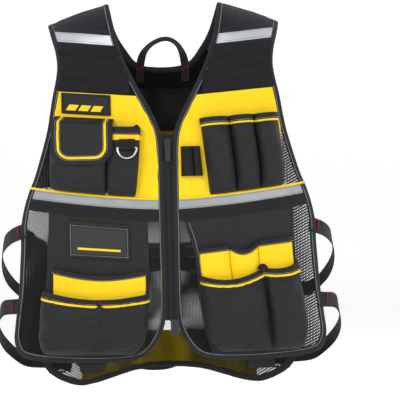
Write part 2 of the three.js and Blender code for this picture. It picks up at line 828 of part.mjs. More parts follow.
function addBadge() {
  const top = slant(0.2088, 0.1985, badge.nearAcross, badge.farAcross);
  const foot = (x) => top(x) - badge.high;
  const from = badge.nearAcross * vest.hemHalf;
  const to = badge.farAcross * vest.hemHalf;
  const outline = mirrored(bandOutline(top, foot, from, to, 1));
  add("badge_patch", cut(FRONT, layer.trim, layer.trim + cloth.trim, outline), finish.canvas);
}

// The zip is closed: a chain down the middle, its two tapes, and the box at the foot of the left tape.
const zipPlace = { top: 0.31, foot: 0.783, boxHigh: 25 };
const slider = { wide: 10, high: 15, plate: 1.6, bar: 1.4 };
const bridge = { wide: 2.4, out: 3.4, high: 9 };
const pull = { wide: 8, high: 28, thick: 1.6, eyeWide: 4, eyeHigh: 5, rim: 1.6 };

const rooted = 0.4; // how far the arch is let into the plate
const box = (wide, deep, high, x, y, z) =>
  solidOf(new THREE.BoxGeometry(wide, deep, high).translate(x, y, z));

// A flat piece of the zip between two lines, from x to x at each height.
function zipStrip(heights, fromX, toX, low, high) {
  return sheet([0, 1], heights, (u, z, outer) => {
    const out = outer ? high : low;
    return new THREE.Vector3(mix(fromX(z), toX(z), u), bodyDepth(FRONT, 0, z) - out, z);
  });
}

function addZip() {
  const topZ = -zipPlace.top * vest.length;
  const footZ = -zipPlace.foot * vest.length;
  const heightsBetween = (from, to) => [
    from,
    ...neckAndFrontEdge.map((row) => -row.down * vest.length).filter((z) => z < from && z > to),
    to,
  ];
  const edgeX = (z) =>
    between(neckAndFrontEdge, "down", -z / vest.length, "across") * vest.hemHalf - cloth.gap;
  const heights = heightsBetween(topZ, footZ);
  const tape = zipStrip(heights, (z) => -edgeX(z), edgeX, 0, zip.thick);
  const half = zip.chainWide / 2;
  const chainTop = zip.thick + zip.chainHigh;
  const chain = zipStrip(heights, () => -half, () => half, zip.thick / 2, chainTop);
  const boxFoot = footZ - zipPlace.boxHigh;
  const insert = zipStrip(heightsBetween(footZ + 1, boxFoot), () => 0, edgeX, 0, chainTop);
  add("zip", tape.add(chain).add(insert), finish.tape);

  const sliderZ = topZ - slider.high;
  const face = bodyDepth(FRONT, 0, sliderZ) - chainTop - 2 * cloth.gap;
  const bridgeY = face - slider.plate;
  const plate = box(slider.wide, slider.plate, slider.high, 0, face - slider.plate / 2, sliderZ);
  const arch = box(bridge.wide, bridge.out + slider.bar, bridge.high, 0, 0, 0);
  const archHole = box(2 * bridge.wide, bridge.out, bridge.high - 2 * slider.bar, 0, slider.bar / 2, 0);
  const archY = bridgeY - (bridge.out + slider.bar) / 2;
  const archAtPlate = arch.subtract(archHole).translate([0, archY + rooted, sliderZ]);
  add("zip_slider", plate.add(archAtPlate), finish.plastic);

  const axisZ = sliderZ - bridge.high / 2 + slider.bar + cloth.gap + pull.rim / 2;
  const axisY = bridgeY - bridge.out / 2 + rooted;
  const tab = box(pull.wide, pull.thick, pull.high, 0, 0, pull.rim / 2 - pull.high / 2);
  const eye = box(pull.eyeWide, pull.thick * 2, pull.eyeHigh, 0, 0, -pull.rim / 2 - pull.eyeHigh / 2);
  add("zip_pull", tab.subtract(eye), finish.plastic).position.set(0, axisY, axisZ);
}

// The tool ring hangs from a folded tab on the pen pocket.
const ring = { wide: 35, wire: 3, drop: 18.5, across: 0.245, down: 0.343, sides: 6, steps: 12 };
const ringTab = { wide: 26, high: 14, fold: 1.4, play: 0.4 };

function addRing() {
  const x = -ring.across * vest.hemHalf;
  const z = -ring.down * vest.length;
  const standing = penPocket.base + penPocket.depth + cloth.gap;
  const eye = ring.wire / 2 + ringTab.play;
  const rollRadius = eye + ringTab.fold;
  const centre = onBody(FRONT, x, z, standing + rollRadius + 1);
  const turn = Math.atan2(bodyNormal(FRONT, x, z).x, -bodyNormal(FRONT, x, z).y);

  const roll = (radius, long) =>
    solidOf(new THREE.CylinderGeometry(radius, radius, long, 10).rotateZ(Math.PI / 2));
  const flat = 2 * ringTab.fold + 0.2;
  const back = box(ringTab.wide, flat, ringTab.high, 0, rollRadius - flat / 2, ringTab.high / 2);
  const tab = roll(rollRadius, ringTab.wide).add(back).subtract(roll(eye, ringTab.wide * 2));
  const tabMesh = add("ring_tab", tab, finish.webbing);

  const half = (ring.wide - ring.wire) / 2;
  const arc = steps(0, Math.PI, ring.steps).map(
    (angle) =>
      new THREE.Vector3(half * Math.cos(angle), 0, -(ring.drop - ring.wire / 2) * Math.sin(angle)),
  );
  const section = new THREE.Shape(
    steps(0, 2 * Math.PI, ring.sides)
      .slice(1)
      .map((angle) => new THREE.Vector2(Math.cos(angle), Math.sin(angle)).multiplyScalar(ring.wire / 2)),
  );
  const wire = new THREE.ExtrudeGeometry(section, {
    steps: ring.steps,
    extrudePath: new THREE.CatmullRomCurve3(arc),
  });
  const ringMesh = add("d_ring", solidOf(wire).add(roll(ring.wire / 2, 2 * half)), finish.steel);
  for (const mesh of [tabMesh, ringMesh]) {
    mesh.position.copy(centre);
    mesh.rotation.z = turn;
  }
}

// Bands and panels of the back. Each runs from one line to another, inside the bound edge.
const backBands = table(
  ["name", "from", "to", "near", "far", "cloth"],
  ["back_tape", 0.192, 0.2165, 0.505, 0.505, "reflective"],
  ["back_yellow_panel", 0.217, 0.315, 0.5, 0.47, "yellow"],
  ["back_waist_tape", 0.597, 0.636, 0.49, 0.56, "reflective"],
  ["back_waist_webbing", 0.6365, 0.672, 0.56, 0.56, "webbing"],
  ["back_hem_panel", 0.83, 1.1, 0.57, 0.57, "yellow"],
);
const hemWebbing = { from: 0.873, to: 0.919, across: 0.6 };
const slateEdge = edge([0.2, 0.05], [0.25, 0.075], [0.45, 0.133], [0.6, 0.162], [0.9, 0.2], [0.9, -0.2]);

function addBack() {
  const inside = prism(BACK, backInside);
  const top = layer.panel + cloth.panel;
  const band = (from, to, near, far) => {
    const rows = edge([-near, from], [near, from], [far, to], [-far, to]);
    return cut(BACK, layer.panel, top, pointsOf(rows)).intersect(inside);
  };
  for (const row of backBands)
    add(row.name, band(row.from, row.to - 0.0005, row.near, row.far), finish[row.cloth]);
  const yoke = band(-0.1, backBands[0].from - 0.0005, 1, 1);
  const slateOutline = pointsOf([...slateEdge, { across: 0.2, down: -0.2 }]);
  for (const { name, sign } of sides) {
    const patch = prism(BACK, sideOf(sign, moved(slateOutline, cloth.gap)));
    const slate = cut(BACK, layer.panel, top, sideOf(sign, slateOutline)).intersect(inside);
    add(`slate_${name}`, slate, finish.slate);
  }
  const slates = sides
    .map(({ sign }) => prism(BACK, sideOf(sign, moved(slateOutline, -cloth.gap))))
    .reduce((a, b) => a.add(b));
  add("back_yoke", yoke.subtract(slates), finish.looped);
  const hem = edge(
    [-hemWebbing.across, hemWebbing.from],
    [hemWebbing.across, hemWebbing.from],
    [hemWebbing.across, hemWebbing.to],
    [-hemWebbing.across, hemWebbing.to],
  );
  const webbingBand = cut(BACK, layer.trim, layer.trim + cloth.trim, pointsOf(hem));
  add("back_hem_webbing", webbingBand.intersect(inside), finish.webbing);
}

// A loop of webbing for a hammer stands out from the hem webbing and sags outwards.
const hammerLoop = { across: -0.083, top: 0.871, half: 34, out: 40, high: 36, sag: 12, thick: 2 };

function addHammerLoop() {
  const middle = hammerLoop.across * vest.hemHalf;
  const topZ = -hammerLoop.top * vest.length;
  const loop = sheet(steps(0, Math.PI, 10), [0, 1], (angle, v, outer) => {
    const grow = outer ? hammerLoop.thick : 0;
    const x = middle + (hammerLoop.half + grow) * Math.cos(angle);
    const z = topZ - hammerLoop.sag * Math.sin(angle) - hammerLoop.high * v;
    const out = (hammerLoop.out + grow) * Math.sin(angle) - 3;
    return new THREE.Vector3(x, bodyDepth(BACK, x, z) + layer.trim + out, z);
  });
  const seated = seat(loop, BACK, layer.trim + cloth.trim + cloth.gap);
  add("hammer_loop", seated, finish.webbing);
}

// A ribbon of webbing along a path. upOf gives the direction out of its face at a point.
function ribbon(points, wide, thick, count, faceOut) {
  const curve = new THREE.CatmullRomCurve3(points, false, "centripetal");
  return sheet([-0.5, 0.5], steps(0, 1, count), (u, v, outer) => {
    const point = curve.getPoint(v);
    const out = faceOut(point, v).normalize();
    const across = curve.getTangent(v).cross(out).normalize();
    const lift = outer ? thick / 2 : -thick / 2;
    return point.addScaledVector(across, u * wide).addScaledVector(out, lift);
  });
}

// The side straps run from the front's side edge round to a slide buckle on the back.
const strapRows = (...rows) => table(["face", "across", "down", "lift"], ...rows);
const upperStrap = strapRows(
  [FRONT, 0.86, 0.549, -6],
  [FRONT, 0.9, 0.553, -6],
  [FRONT, 0.965, 0.566, 0],
  [FRONT, 1.0, 0.59, 3],
  [BACK, 1.0, 0.635, 5],
  [BACK, 0.94, 0.69, 8],
  [BACK, 0.86, 0.722, 5],
);
const lowerStrap = strapRows(
  [FRONT, 0.88, 0.742, -6],
  [FRONT, 0.91, 0.744, -6],
  [FRONT, 0.985, 0.75, 0],
  [FRONT, 1.01, 0.765, 3],
  [BACK, 1.0, 0.81, 5],
  [BACK, 0.94, 0.862, 8],
  [BACK, 0.86, 0.893, 5],
);
const buckle = { wide: 30, high: 40, thick: 2.6, rim: 3, bar: 4, lift: 7.4, weave: 3.2 };
const straps = [
  { name: "upper", rows: upperStrap, across: 0.714, down: 0.732 },
  { name: "lower", rows: lowerStrap, across: 0.722, down: 0.906 },
];
const strapEnd = 14; // how far the strap runs on past the buckle to its seam on the back
const strapPieces = 21; // flat stretches along a strap

function buckleFrame(sign, place) {
  const x = sign * place.across * vest.hemHalf;
  const z = -place.down * vest.length;
  const out = bodyNormal(BACK, x, z).setZ(0).normalize();
  return { centre: onBody(BACK, x, z, buckle.lift), out, x, z };
}

function addSideStrap(sign, name, place) {
  const { centre, out, x, z } = buckleFrame(sign, place);
  const along = new THREE.Vector3(0, 0, 1).cross(out).multiplyScalar(sign).normalize();
  const weave = (distance, side) =>
    centre.clone().addScaledVector(along, distance).addScaledVector(out, side * buckle.weave);
  const barPlace = buckle.wide / 2 - buckle.rim + 0.5;
  const round = place.rows.map((row) => {
    const height = -row.down * vest.length;
    const across = Math.min(row.across, 0.999) * bodyHalf(height);
    return onBody(row.face, sign * across, height, row.lift);
  });
  const end = x - sign * (buckle.wide / 2 + strapEnd);
  const points = [
    ...round,
    weave(-barPlace - 2 * buckle.rim, -1),
    weave(-barPlace, -1),
    weave(0, 1),
    weave(barPlace, -1),
    onBody(BACK, end, z, cloth.net + 1.4),
  ];
  const centreOut = (point) =>
    new THREE.Vector3(point.x / vest.hemHalf ** 2, point.y / vest.depth ** 2, 0);
  const strap = ribbon(points, webbing.wide, webbing.thick, strapPieces, centreOut);
  add(`side_strap_${name}`, seat(strap, BACK, cloth.net + cloth.gap), finish.webbing);
}

function addBuckle(sign, name, place) {
  const { centre, out } = buckleFrame(sign, place);
  const plate = box(buckle.wide, buckle.thick, buckle.high, 0, 0, 0);
  const slotWide = (buckle.wide - 2 * buckle.rim - buckle.bar) / 2;
  const slotX = (slotWide + buckle.bar) / 2;
  const slot = (x) => box(slotWide, 2 * buckle.thick, buckle.high - 2 * buckle.rim, x, 0, 0);
  const mesh = add(`buckle_${name}`, plate.subtract(slot(-slotX)).subtract(slot(slotX)), finish.plastic);
  mesh.position.copy(centre);
  mesh.rotation.z = -Math.atan2(out.x, out.y);
}

function addStraps() {
  for (const { name, sign } of sides)
    for (const place of straps) {
      addSideStrap(sign, `${place.name}_${name}`, place);
      addBuckle(sign, `${place.name}_${name}`, place);
    }
}

// The hanger loop stands up from the inside of the back neck.
const hanger = { wide: 14, thick: 1.4 };
const hangerRows = table(
  ["across", "down"],
  [-0.148, 0.168],
  [-0.148, 0.128],
  [-0.12, 0.088],
  [-0.05, 0.062],
  [0.03, 0.054],
  [0.09, 0.066],
  [0.13, 0.094],
  [0.146, 0.128],
  [0.146, 0.168],
);
const hangerInside = 5; // how far inside the back's surface it stands
const hangerSeat = { high: 12, deep: 8 };

function addHanger() {
  const neckY = bodyDepth(BACK, 0, -backNeck[0].down * vest.length);
  const points = hangerRows.map(
    ({ across, down }) =>
      new THREE.Vector3(across * vest.hemHalf, neckY - hangerInside, -down * vest.length),
  );
  const loop = ribbon(points, hanger.wide, hanger.thick, 18, () => new THREE.Vector3(0, -1, 0));
  const seats = [points[0], points.at(-1)].map((foot) => {
    const block = box(
      hanger.wide,
      hangerSeat.deep,
      hangerSeat.high,
      foot.x,
      foot.y + (hangerSeat.deep - hanger.thick) / 2,
      foot.z + hangerSeat.high / 2,
    );
    return block.subtract(slab(BACK, -cloth.gap, deepInside));
  });
  add("hanger_loop", loop.add(seats[0]).add(seats[1]), finish.webbing);
}

addShell();
addShoulders();
addChest();
addUpperPockets();
addLowerPockets();
addBadge();
addZip();
addRing();
addBack();
addHammerLoop();
addStraps();
addHanger();

export default group;
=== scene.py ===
"""The looks of a utility work vest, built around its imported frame."""

import logging
import math
from dataclasses import dataclass
from enum import Enum
from functools import cache
from typing import Callable, Iterable, Sequence

import bmesh
import bpy
import numpy as np
from mathutils import Matrix, Vector
from mathutils.geometry import delaunay_2d_cdt


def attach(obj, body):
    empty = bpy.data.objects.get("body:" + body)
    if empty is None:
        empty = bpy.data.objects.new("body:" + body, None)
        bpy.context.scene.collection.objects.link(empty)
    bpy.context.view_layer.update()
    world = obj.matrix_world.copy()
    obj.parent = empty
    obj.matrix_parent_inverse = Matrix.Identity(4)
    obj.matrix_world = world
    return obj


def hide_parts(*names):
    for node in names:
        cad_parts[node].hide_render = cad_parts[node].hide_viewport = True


LOG = logging.getLogger("vest")
MM = 0.001  # metres in a millimetre
Points = np.ndarray
Line = Callable[[np.ndarray], np.ndarray]
Rows = tuple[tuple[float, ...], ...]
Object, Material = bpy.types.Object, bpy.types.Material
Tree, Socket = bpy.types.GeometryNodeTree, bpy.types.NodeSocket
Colour = tuple[float, float, float]

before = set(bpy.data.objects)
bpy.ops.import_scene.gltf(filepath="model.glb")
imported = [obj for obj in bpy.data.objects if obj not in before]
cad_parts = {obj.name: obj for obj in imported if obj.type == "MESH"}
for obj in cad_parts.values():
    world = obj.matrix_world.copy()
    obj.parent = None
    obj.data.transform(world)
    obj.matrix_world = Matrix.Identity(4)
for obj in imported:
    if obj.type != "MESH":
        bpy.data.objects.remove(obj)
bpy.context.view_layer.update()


class Face(Enum):
    """The two halves of the body."""

    FRONT = -1
    BACK = 1


class Side(Enum):
    """The wearer's sides, as the sign of x."""

    RIGHT = -1
    LEFT = 1

    @property
    def word(self) -> str:
        """The side's name in lower case."""
        return self.name.lower()


FRONT, BACK = Face
BOTH = (Side.RIGHT, Side.LEFT)


def points_of(*columns: np.ndarray) -> Points:
    """Columns of numbers as rows of points."""
    return np.column_stack(columns)


def unit(vectors: Points) -> Points:
    """Vectors at a length of 1."""
    return vectors / np.maximum(np.linalg.norm(vectors, axis=1, keepdims=True), 1e-9)


def lengths(points: Points) -> np.ndarray:
    """The length of a line up to each of its points."""
    return np.concatenate([[0], np.cumsum(np.linalg.norm(np.diff(points, axis=0), axis=1))])


def ease(t: np.ndarray) -> np.ndarray:
    """A smooth step from 0 to 1 over 0 to 1."""
    t = np.clip(t, 0.0, 1.0)
    return t * t * (3 - 2 * t)


def ripple(x: np.ndarray, y: np.ndarray, size: float, seed: int, waves: int = 7) -> np.ndarray:
    """A smooth seeded unevenness of about -1 to 1.

    Args:
        x: First coordinate, in millimetres.
        y: Second coordinate, in millimetres.
        size: The typical width of a wave, in millimetres.
        seed: The seed of its random directions.
        waves: How many waves are added.

    Returns:
        One value for each point.
    """
    rng = np.random.default_rng(seed)
    total = np.zeros(np.broadcast(x, y).shape)
    for _ in range(waves):
        angle = rng.uniform(0, math.tau)
        pace = math.tau / (size * rng.uniform(0.7, 1.6))
        phase = rng.uniform(0, math.tau)
        total += np.sin(pace * (x * math.cos(angle) + y * math.sin(angle)) + phase)
    return total / math.sqrt(2 * waves)


def crease(x: np.ndarray, y: np.ndarray, size: float, seed: int) -> np.ndarray:
    """Soft folds with narrow valleys, of about -1 to 0.3.

    Args:
        x: First coordinate, in millimetres.
        y: Second coordinate, in millimetres.
        size: The typical width between folds, in millimetres.
        seed: The seed of its random directions.

    Returns:
        One value for each point.
    """
    bent = ripple(x, y, size * 1.6, seed) * size * 0.5
    wave = ripple(x + bent, y - bent, size, seed + 1, 4)
    return 0.3 - np.exp(-((wave / 0.35) ** 2)) * 1.2


class Body:
    """The vest's curved surface, on which every layer lies, in millimetres."""

    LENGTH = 645.0
    HEM_HALF = 264.0
    DEPTH = 118.0
    SQUARENESS = 2.3
    SEAM_HIGH = 29.0
    SEAM_FALL = 84.0
    ROUND = 60.0
    SEAM_GAP = 0.15
    DOWN = (-0.05, 0.0, 0.1, 0.2, 0.32, 0.47, 0.65, 0.8, 1.1)
    WIDE = (0.98, 0.98, 0.97, 0.975, 0.99, 1.01, 1.04, 1.07, 1.1)
    DEEP = {
        FRONT: (0.5, 0.62, 0.78, 0.9, 0.98, 1.0, 0.99, 0.97, 0.95),
        BACK: (0.55, 0.66, 0.82, 0.93, 0.97, 0.92, 0.87, 0.88, 0.95),
    }
    STEP = 0.5

    @classmethod
    def half(cls, z: np.ndarray) -> np.ndarray:
        """Half the body's width at a height."""
        return cls.HEM_HALF * np.interp(-z / cls.LENGTH, cls.DOWN, cls.WIDE)

    @classmethod
    def seam(cls, x: np.ndarray) -> np.ndarray:
        """The height of the shoulder seam at x."""
        return cls.SEAM_HIGH - cls.SEAM_FALL * np.minimum(np.abs(x) / cls.HEM_HALF, 1) ** 2

    @classmethod
    def flat(cls, xz: Points) -> Points:
        """Heights become lengths of cloth below the shoulder seam.

        Args:
            xz: Points as x and z.

        Returns:
            Points as x and the length of cloth down to them, which is negative past the seam.
        """
        fall = cls.seam(xz[:, 0]) - xz[:, 1]
        curved = cls.ROUND * np.arccos(1 - np.clip(fall / cls.ROUND, 0, 1))
        below = cls.ROUND * math.pi / 2 + fall - cls.ROUND
        run = np.where(fall <= 0, fall, np.where(fall < cls.ROUND, curved, below))
        return points_of(xz[:, 0], run)

    @classmethod
    def surface(cls, face: Face, x: np.ndarray, run: np.ndarray) -> Points:
        """Points of the body's surface, in space.

        Args:
            face: The front or the back.
            x: Across.
            run: The length of cloth below the shoulder seam.

        Returns:
            An array of points.
        """
        angle = np.clip(run / cls.ROUND, 0, math.pi / 2)
        z = cls.height(x, run)
        share = np.minimum(np.abs(x) / cls.half(z), 0.9995)
        section = (1 - share**cls.SQUARENESS) ** (1 / cls.SQUARENESS)
        deep = cls.DEPTH * np.interp(-z / cls.LENGTH, cls.DOWN, cls.DEEP[face])
        y = face.value * (deep * section * np.sin(angle) + cls.SEAM_GAP)
        return points_of(x, y, z)

    @classmethod
    def place(cls, face: Face, flat: Points, lift: np.ndarray | float) -> Points:
        """Points over the surface, along its normals.

        Args:
            face: The front or the back.
            flat: Points as x and the length of cloth below the seam.
            lift: Heights over the surface.

        Returns:
            An array of points in space.
        """
        x, run = flat[:, 0], np.maximum(flat[:, 1], 0)
        here = cls.surface(face, x, run)
        across = cls.surface(face, x + cls.STEP, run) - cls.surface(face, x - cls.STEP, run)
        low = np.maximum(run - cls.STEP, 0)
        down = cls.surface(face, x, run + cls.STEP) - cls.surface(face, x, low)
        normal = unit(np.cross(down, across) * -face.value)
        return here + normal * np.broadcast_to(lift, x.shape)[:, None]

    @classmethod
    def height(cls, x: np.ndarray, run: np.ndarray) -> np.ndarray:
        """The height of a place on the cloth.

        Args:
            x: Across, in millimetres.
            run: The length of cloth below the shoulder seam.

        Returns:
            The heights.
        """
        angle = np.clip(run / cls.ROUND, 0, math.pi / 2)
        curved = cls.ROUND * (1 - np.cos(angle))
        return cls.seam(x) - np.where(angle < math.pi / 2, curved, run - cls.ROUND * (math.pi / 2 - 1))

    @classmethod
    def on(cls, face: Face, xz: Points, lift: np.ndarray | float) -> Points:
        """The same, for points given as x and z."""
        return cls.place(face, cls.flat(np.asarray(xz, float)), lift)


class Path:
    """Tools for lines in the plane of x and z."""

    @staticmethod
    def smooth(points: Sequence[Sequence[float]], step: float = 4.0) -> Points:
        """A smooth line through the points, evenly spaced.

        Args:
            points: The points to pass through, in any number of dimensions.
            step: The distance between the new points.

        Returns:
            The new points.
        """
        given = np.asarray(points, float)
        padded = np.vstack([2 * given[0] - given[1], given, 2 * given[-1] - given[-2]])
        parts = []
        for a, b, c, d in zip(padded, padded[1:], padded[2:], padded[3:]):
            gaps = [max(np.linalg.norm(q - p) ** 0.5, 1e-3) for p, q in ((a, b), (b, c), (c, d))]
            into = gaps[1] * ((b - a) / gaps[0] - (c - a) / (gaps[0] + gaps[1]) + (c - b) / gaps[1])
            out = gaps[1] * ((c - b) / gaps[1] - (d - b) / (gaps[1] + gaps[2]) + (d - c) / gaps[2])
            t = np.linspace(0, 1, 24, endpoint=False)[:, None]
            parts.append(
                (2 * t**3 - 3 * t**2 + 1) * b
                + (t**3 - 2 * t**2 + t) * into
                + (3 * t**2 - 2 * t**3) * c
                + (t**3 - t**2) * out
            )
        return Path.even(np.vstack([*parts, given[-1:]]), step)

    @staticmethod
    def even(points: Points, step: float) -> Points:
        """The same line with evenly spaced points.

        Args:
            points: The line.
            step: The distance between two points.

        Returns:
            The new points.
        """
        points = np.asarray(points, float)
        run = lengths(points)
        count = max(int(round(run[-1] / step)), 1)
        places = np.linspace(0, run[-1], count + 1)
        return np.column_stack([np.interp(places, run, column) for column in points.T])

    @staticmethod
    def moved(points: Points, distance: np.ndarray | float) -> Points:
        """A plane line moved to its left.

        Args:
            points: The line.
            distance: How far to the left.

        Returns:
            The moved line.
        """
        along = unit(np.gradient(points, axis=0))
        left = points_of(-along[:, 1], along[:, 0])
        return points + np.broadcast_to(distance, len(points))[:, None] * left

    @staticmethod
    def mirrored(points: Points) -> Points:
        """The line on the other side of the middle, running the other way."""
        return (np.asarray(points, float) * (-1, 1))[::-1]

    @staticmethod
    def sided(side: Side, points: Points) -> Points:
        """A line drawn at positive x, on the given side."""
        return np.asarray(points, float) if side is Side.LEFT else Path.mirrored(points)

    @staticmethod
    def inside(outline: Points, points: Points) -> np.ndarray:
        """Which of the points lie within a closed outline.

        Args:
            outline: The closed outline.
            points: The points.

        Returns:
            Whether each point is inside.
        """
        within = np.zeros(len(points), bool)
        x, y = points[:, 0], points[:, 1]
        for (x0, y0), (x1, y1) in zip(outline, np.roll(outline, -1, axis=0)):
            if y0 == y1:
                continue
            crosses = (y0 > y) != (y1 > y)
            within ^= crosses & (x < (x1 - x0) * (y - y0) / (y1 - y0) + x0)
        return within

    @staticmethod
    def band(top: Line, foot: Line, start: float, stop: float, step: float = 5.0) -> Points:
        """The closed outline between two lines, from one x to another.

        Args:
            top: The upper line.
            foot: The lower line.
            start: Where it starts.
            stop: Where it stops.
            step: The distance between two points.

        Returns:
            The outline.
        """
        count = max(int(abs(stop - start) / step), 2)
        xs = np.linspace(start, stop, count + 1)
        return np.vstack([points_of(xs, foot(xs)), points_of(xs, top(xs))[::-1]])


class Shell:
    """Mesh data in millimetres, on its way to becoming a piece."""

    def __init__(self, verts: Points, faces: Iterable[Sequence[int]], uvs: Points | None = None) -> None:
        """Keeps the points, the faces and one place on the cloth for each point.

        Args:
            verts: The points.
            faces: The faces.
            uvs: The places on the cloth.
        """
        self.verts = np.asarray(verts, float)
        self.faces = [tuple(int(i) for i in face) for face in faces]
        self.uvs = self.verts[:, [0, 2]] if uvs is None else np.asarray(uvs, float)

    @staticmethod
    def joined(shells: Sequence["Shell"]) -> "Shell":
        """Several shells as one.

        Args:
            shells: The shells.

        Returns:
            The one shell.
        """
        faces: list[tuple[int, ...]] = []
        start = 0
        for shell in shells:
            faces += [tuple(i + start for i in face) for face in shell.faces]
            start += len(shell.verts)
        return Shell(np.vstack([s.verts for s in shells]), faces, np.vstack([s.uvs for s in shells]))

    @staticmethod
    def grid(points: Points, uvs: Points, closed_u: bool = False, closed_v: bool = False) -> "Shell":
        """A sheet of quads over rows of points.

        Args:
            points: An array of rows by columns by 3.
            uvs: An array of rows by columns by 2.
            closed_u: Whether the columns run round a loop.
            closed_v: Whether the rows do.

        Returns:
            The open sheet.
        """
        rows, columns = points.shape[:2]
        faces = []
        for j in range(rows if closed_v else rows - 1):
            for i in range(columns if closed_u else columns - 1):
                a, b = j * columns + i, j * columns + (i + 1) % columns
                down = ((j + 1) % rows) * columns
                faces.append((a, b, down + (i + 1) % columns, down + i))
        return Shell(points.reshape(-1, 3), faces, uvs.reshape(-1, 2))

    @staticmethod
    def slab(outer: Points, inner: Points, uvs: Points, loop: bool = False) -> "Shell":
        """A closed wall between two grids of the same shape.

        Args:
            outer: The outer points, rows by columns by 3.
            inner: The inner points.
            uvs: Places on the cloth, rows by columns by 2.
            loop: Whether the columns run round a loop.

        Returns:
            The closed shell.
        """
        rows, columns = outer.shape[:2]
        side = rows * columns
        faces = []
        last = columns if loop else columns - 1
        for j in range(rows - 1):
            for i in range(last):
                k = (i + 1) % columns
                a, b = j * columns + i, j * columns + k
                c, d = (j + 1) * columns + k, (j + 1) * columns + i
                faces += [(a, b, c, d), (side + a, side + d, side + c, side + b)]
        foot = (rows - 1) * columns
        for i in range(last):
            k = (i + 1) % columns
            faces += [(i, side + i, side + k, k), (foot + i, foot + k, side + foot + k, side + foot + i)]
        if not loop:
            for j in range(rows - 1):
                a, b = j * columns, (j + 1) * columns
                faces.append((a, b, side + b, side + a))
                a, b = a + columns - 1, b + columns - 1
                faces.append((a, side + a, side + b, b))
        verts = np.vstack([outer.reshape(-1, 3), inner.reshape(-1, 3)])
        return Shell(verts, faces, np.vstack([uvs.reshape(-1, 2)] * 2))

    @staticmethod
    def plate(x: np.ndarray, z: np.ndarray, low: float, high: float) -> "Shell":
        """A flat piece on the front, from grids of x and z and its two heights over the body.

        Args:
            x: A grid of x.
            z: A grid of z.
            low: The inner height.
            high: The outer height.

        Returns:
            The closed shell.
        """
        spots = points_of(x.ravel(), z.ravel())
        outer, inner = (Body.on(FRONT, spots, lift).reshape(*x.shape, 3) for lift in (high, low))
        return Shell.slab(outer, inner, np.stack([x, z], axis=-1))

    def capped(self, rows: int, count: int) -> "Shell":
        """The same shell with its two end rings closed, from its count of rows and points a row.

        Args:
            rows: How many rows it has.
            count: How many points a row has.

        Returns:
            The same shell.
        """
        last = (rows - 1) * count
        self.faces += [tuple(reversed(range(count))), tuple(last + i for i in range(count))]
        return self


class Workshop:
    """What is done to every piece once its mesh stands."""

    @staticmethod
    def face_out(obj: Object) -> None:
        """Turns the faces outwards.

        Args:
            obj: The object.
        """
        mesh = bmesh.new()
        mesh.from_mesh(obj.data)
        bmesh.ops.recalc_face_normals(mesh, faces=mesh.faces)
        mesh.to_mesh(obj.data)
        mesh.free()

    @staticmethod
    def baked(obj: Object) -> Object:
        """The object as a plain mesh, with its modifiers' result.

        Args:
            obj: The object.

        Returns:
            The same object.
        """
        depsgraph = bpy.context.evaluated_depsgraph_get()
        mesh = bpy.data.meshes.new_from_object(obj.evaluated_get(depsgraph))
        name = obj.name
        obj.modifiers.clear()
        old = obj.data
        obj.data = mesh
        bpy.data.meshes.remove(old)
        mesh.name = name
        return obj

    @staticmethod
    def settle(obj: Object, slot: str, replaces: Sequence[str]) -> Object:
        """Shades a piece smooth, puts it under the vest's body and hides the frame's nodes that it stands
        for.

        Args:
            obj: The piece.
            slot: The record's material slot, which is not used.
            replaces: The frame's nodes that it stands for.

        Returns:
            The same piece.
        """
        obj.data.polygons.foreach_set("use_smooth", [True] * len(obj.data.polygons))
        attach(obj, "vest")
        if replaces:
            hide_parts(*replaces)
        obj.data.calc_loop_triangles()
        LOG.info("%s: %d triangles", obj.name, len(obj.data.loop_triangles))
        return obj


class Value:
    """A number of a shader, on which Python's operators add Math nodes."""

    def __init__(self, shade: "Shade", socket: Socket) -> None:
        """Keeps the socket and the material that it belongs to."""
        self.shade = shade
        self.socket = socket

    def _maths(self, operation: str, *others: "Value | float") -> "Value":
        """One Math node on this number and others."""
        return self.shade.node("ShaderNodeMath", {"operation": operation}, (self, *others))

    def __add__(self, other: "Value | float") -> "Value":
        """Their sum."""
        return self._maths("ADD", other)

    __radd__ = __add__

    def __sub__(self, other: "Value | float") -> "Value":
        """Their difference."""
        return self._maths("SUBTRACT", other)

    def __rsub__(self, other: float) -> "Value":
        """The other number less this one."""
        return self.shade.node("ShaderNodeMath", {"operation": "SUBTRACT"}, (other, self))

    def __mul__(self, other: "Value | float") -> "Value":
        """Their product."""
        return self._maths("MULTIPLY", other)

    __rmul__ = __mul__

    def sine(self) -> "Value":
        """Its sine."""
        return self._maths("SINE")

    def size(self) -> "Value":
        """Its distance from 0."""
        return self._maths("ABSOLUTE")

    def powered(self, power: float) -> "Value":
        """A power of it."""
        return self._maths("POWER", power)

    def least(self, other: "Value | float") -> "Value":
        """The smaller of the two."""
        return self._maths("MINIMUM", other)


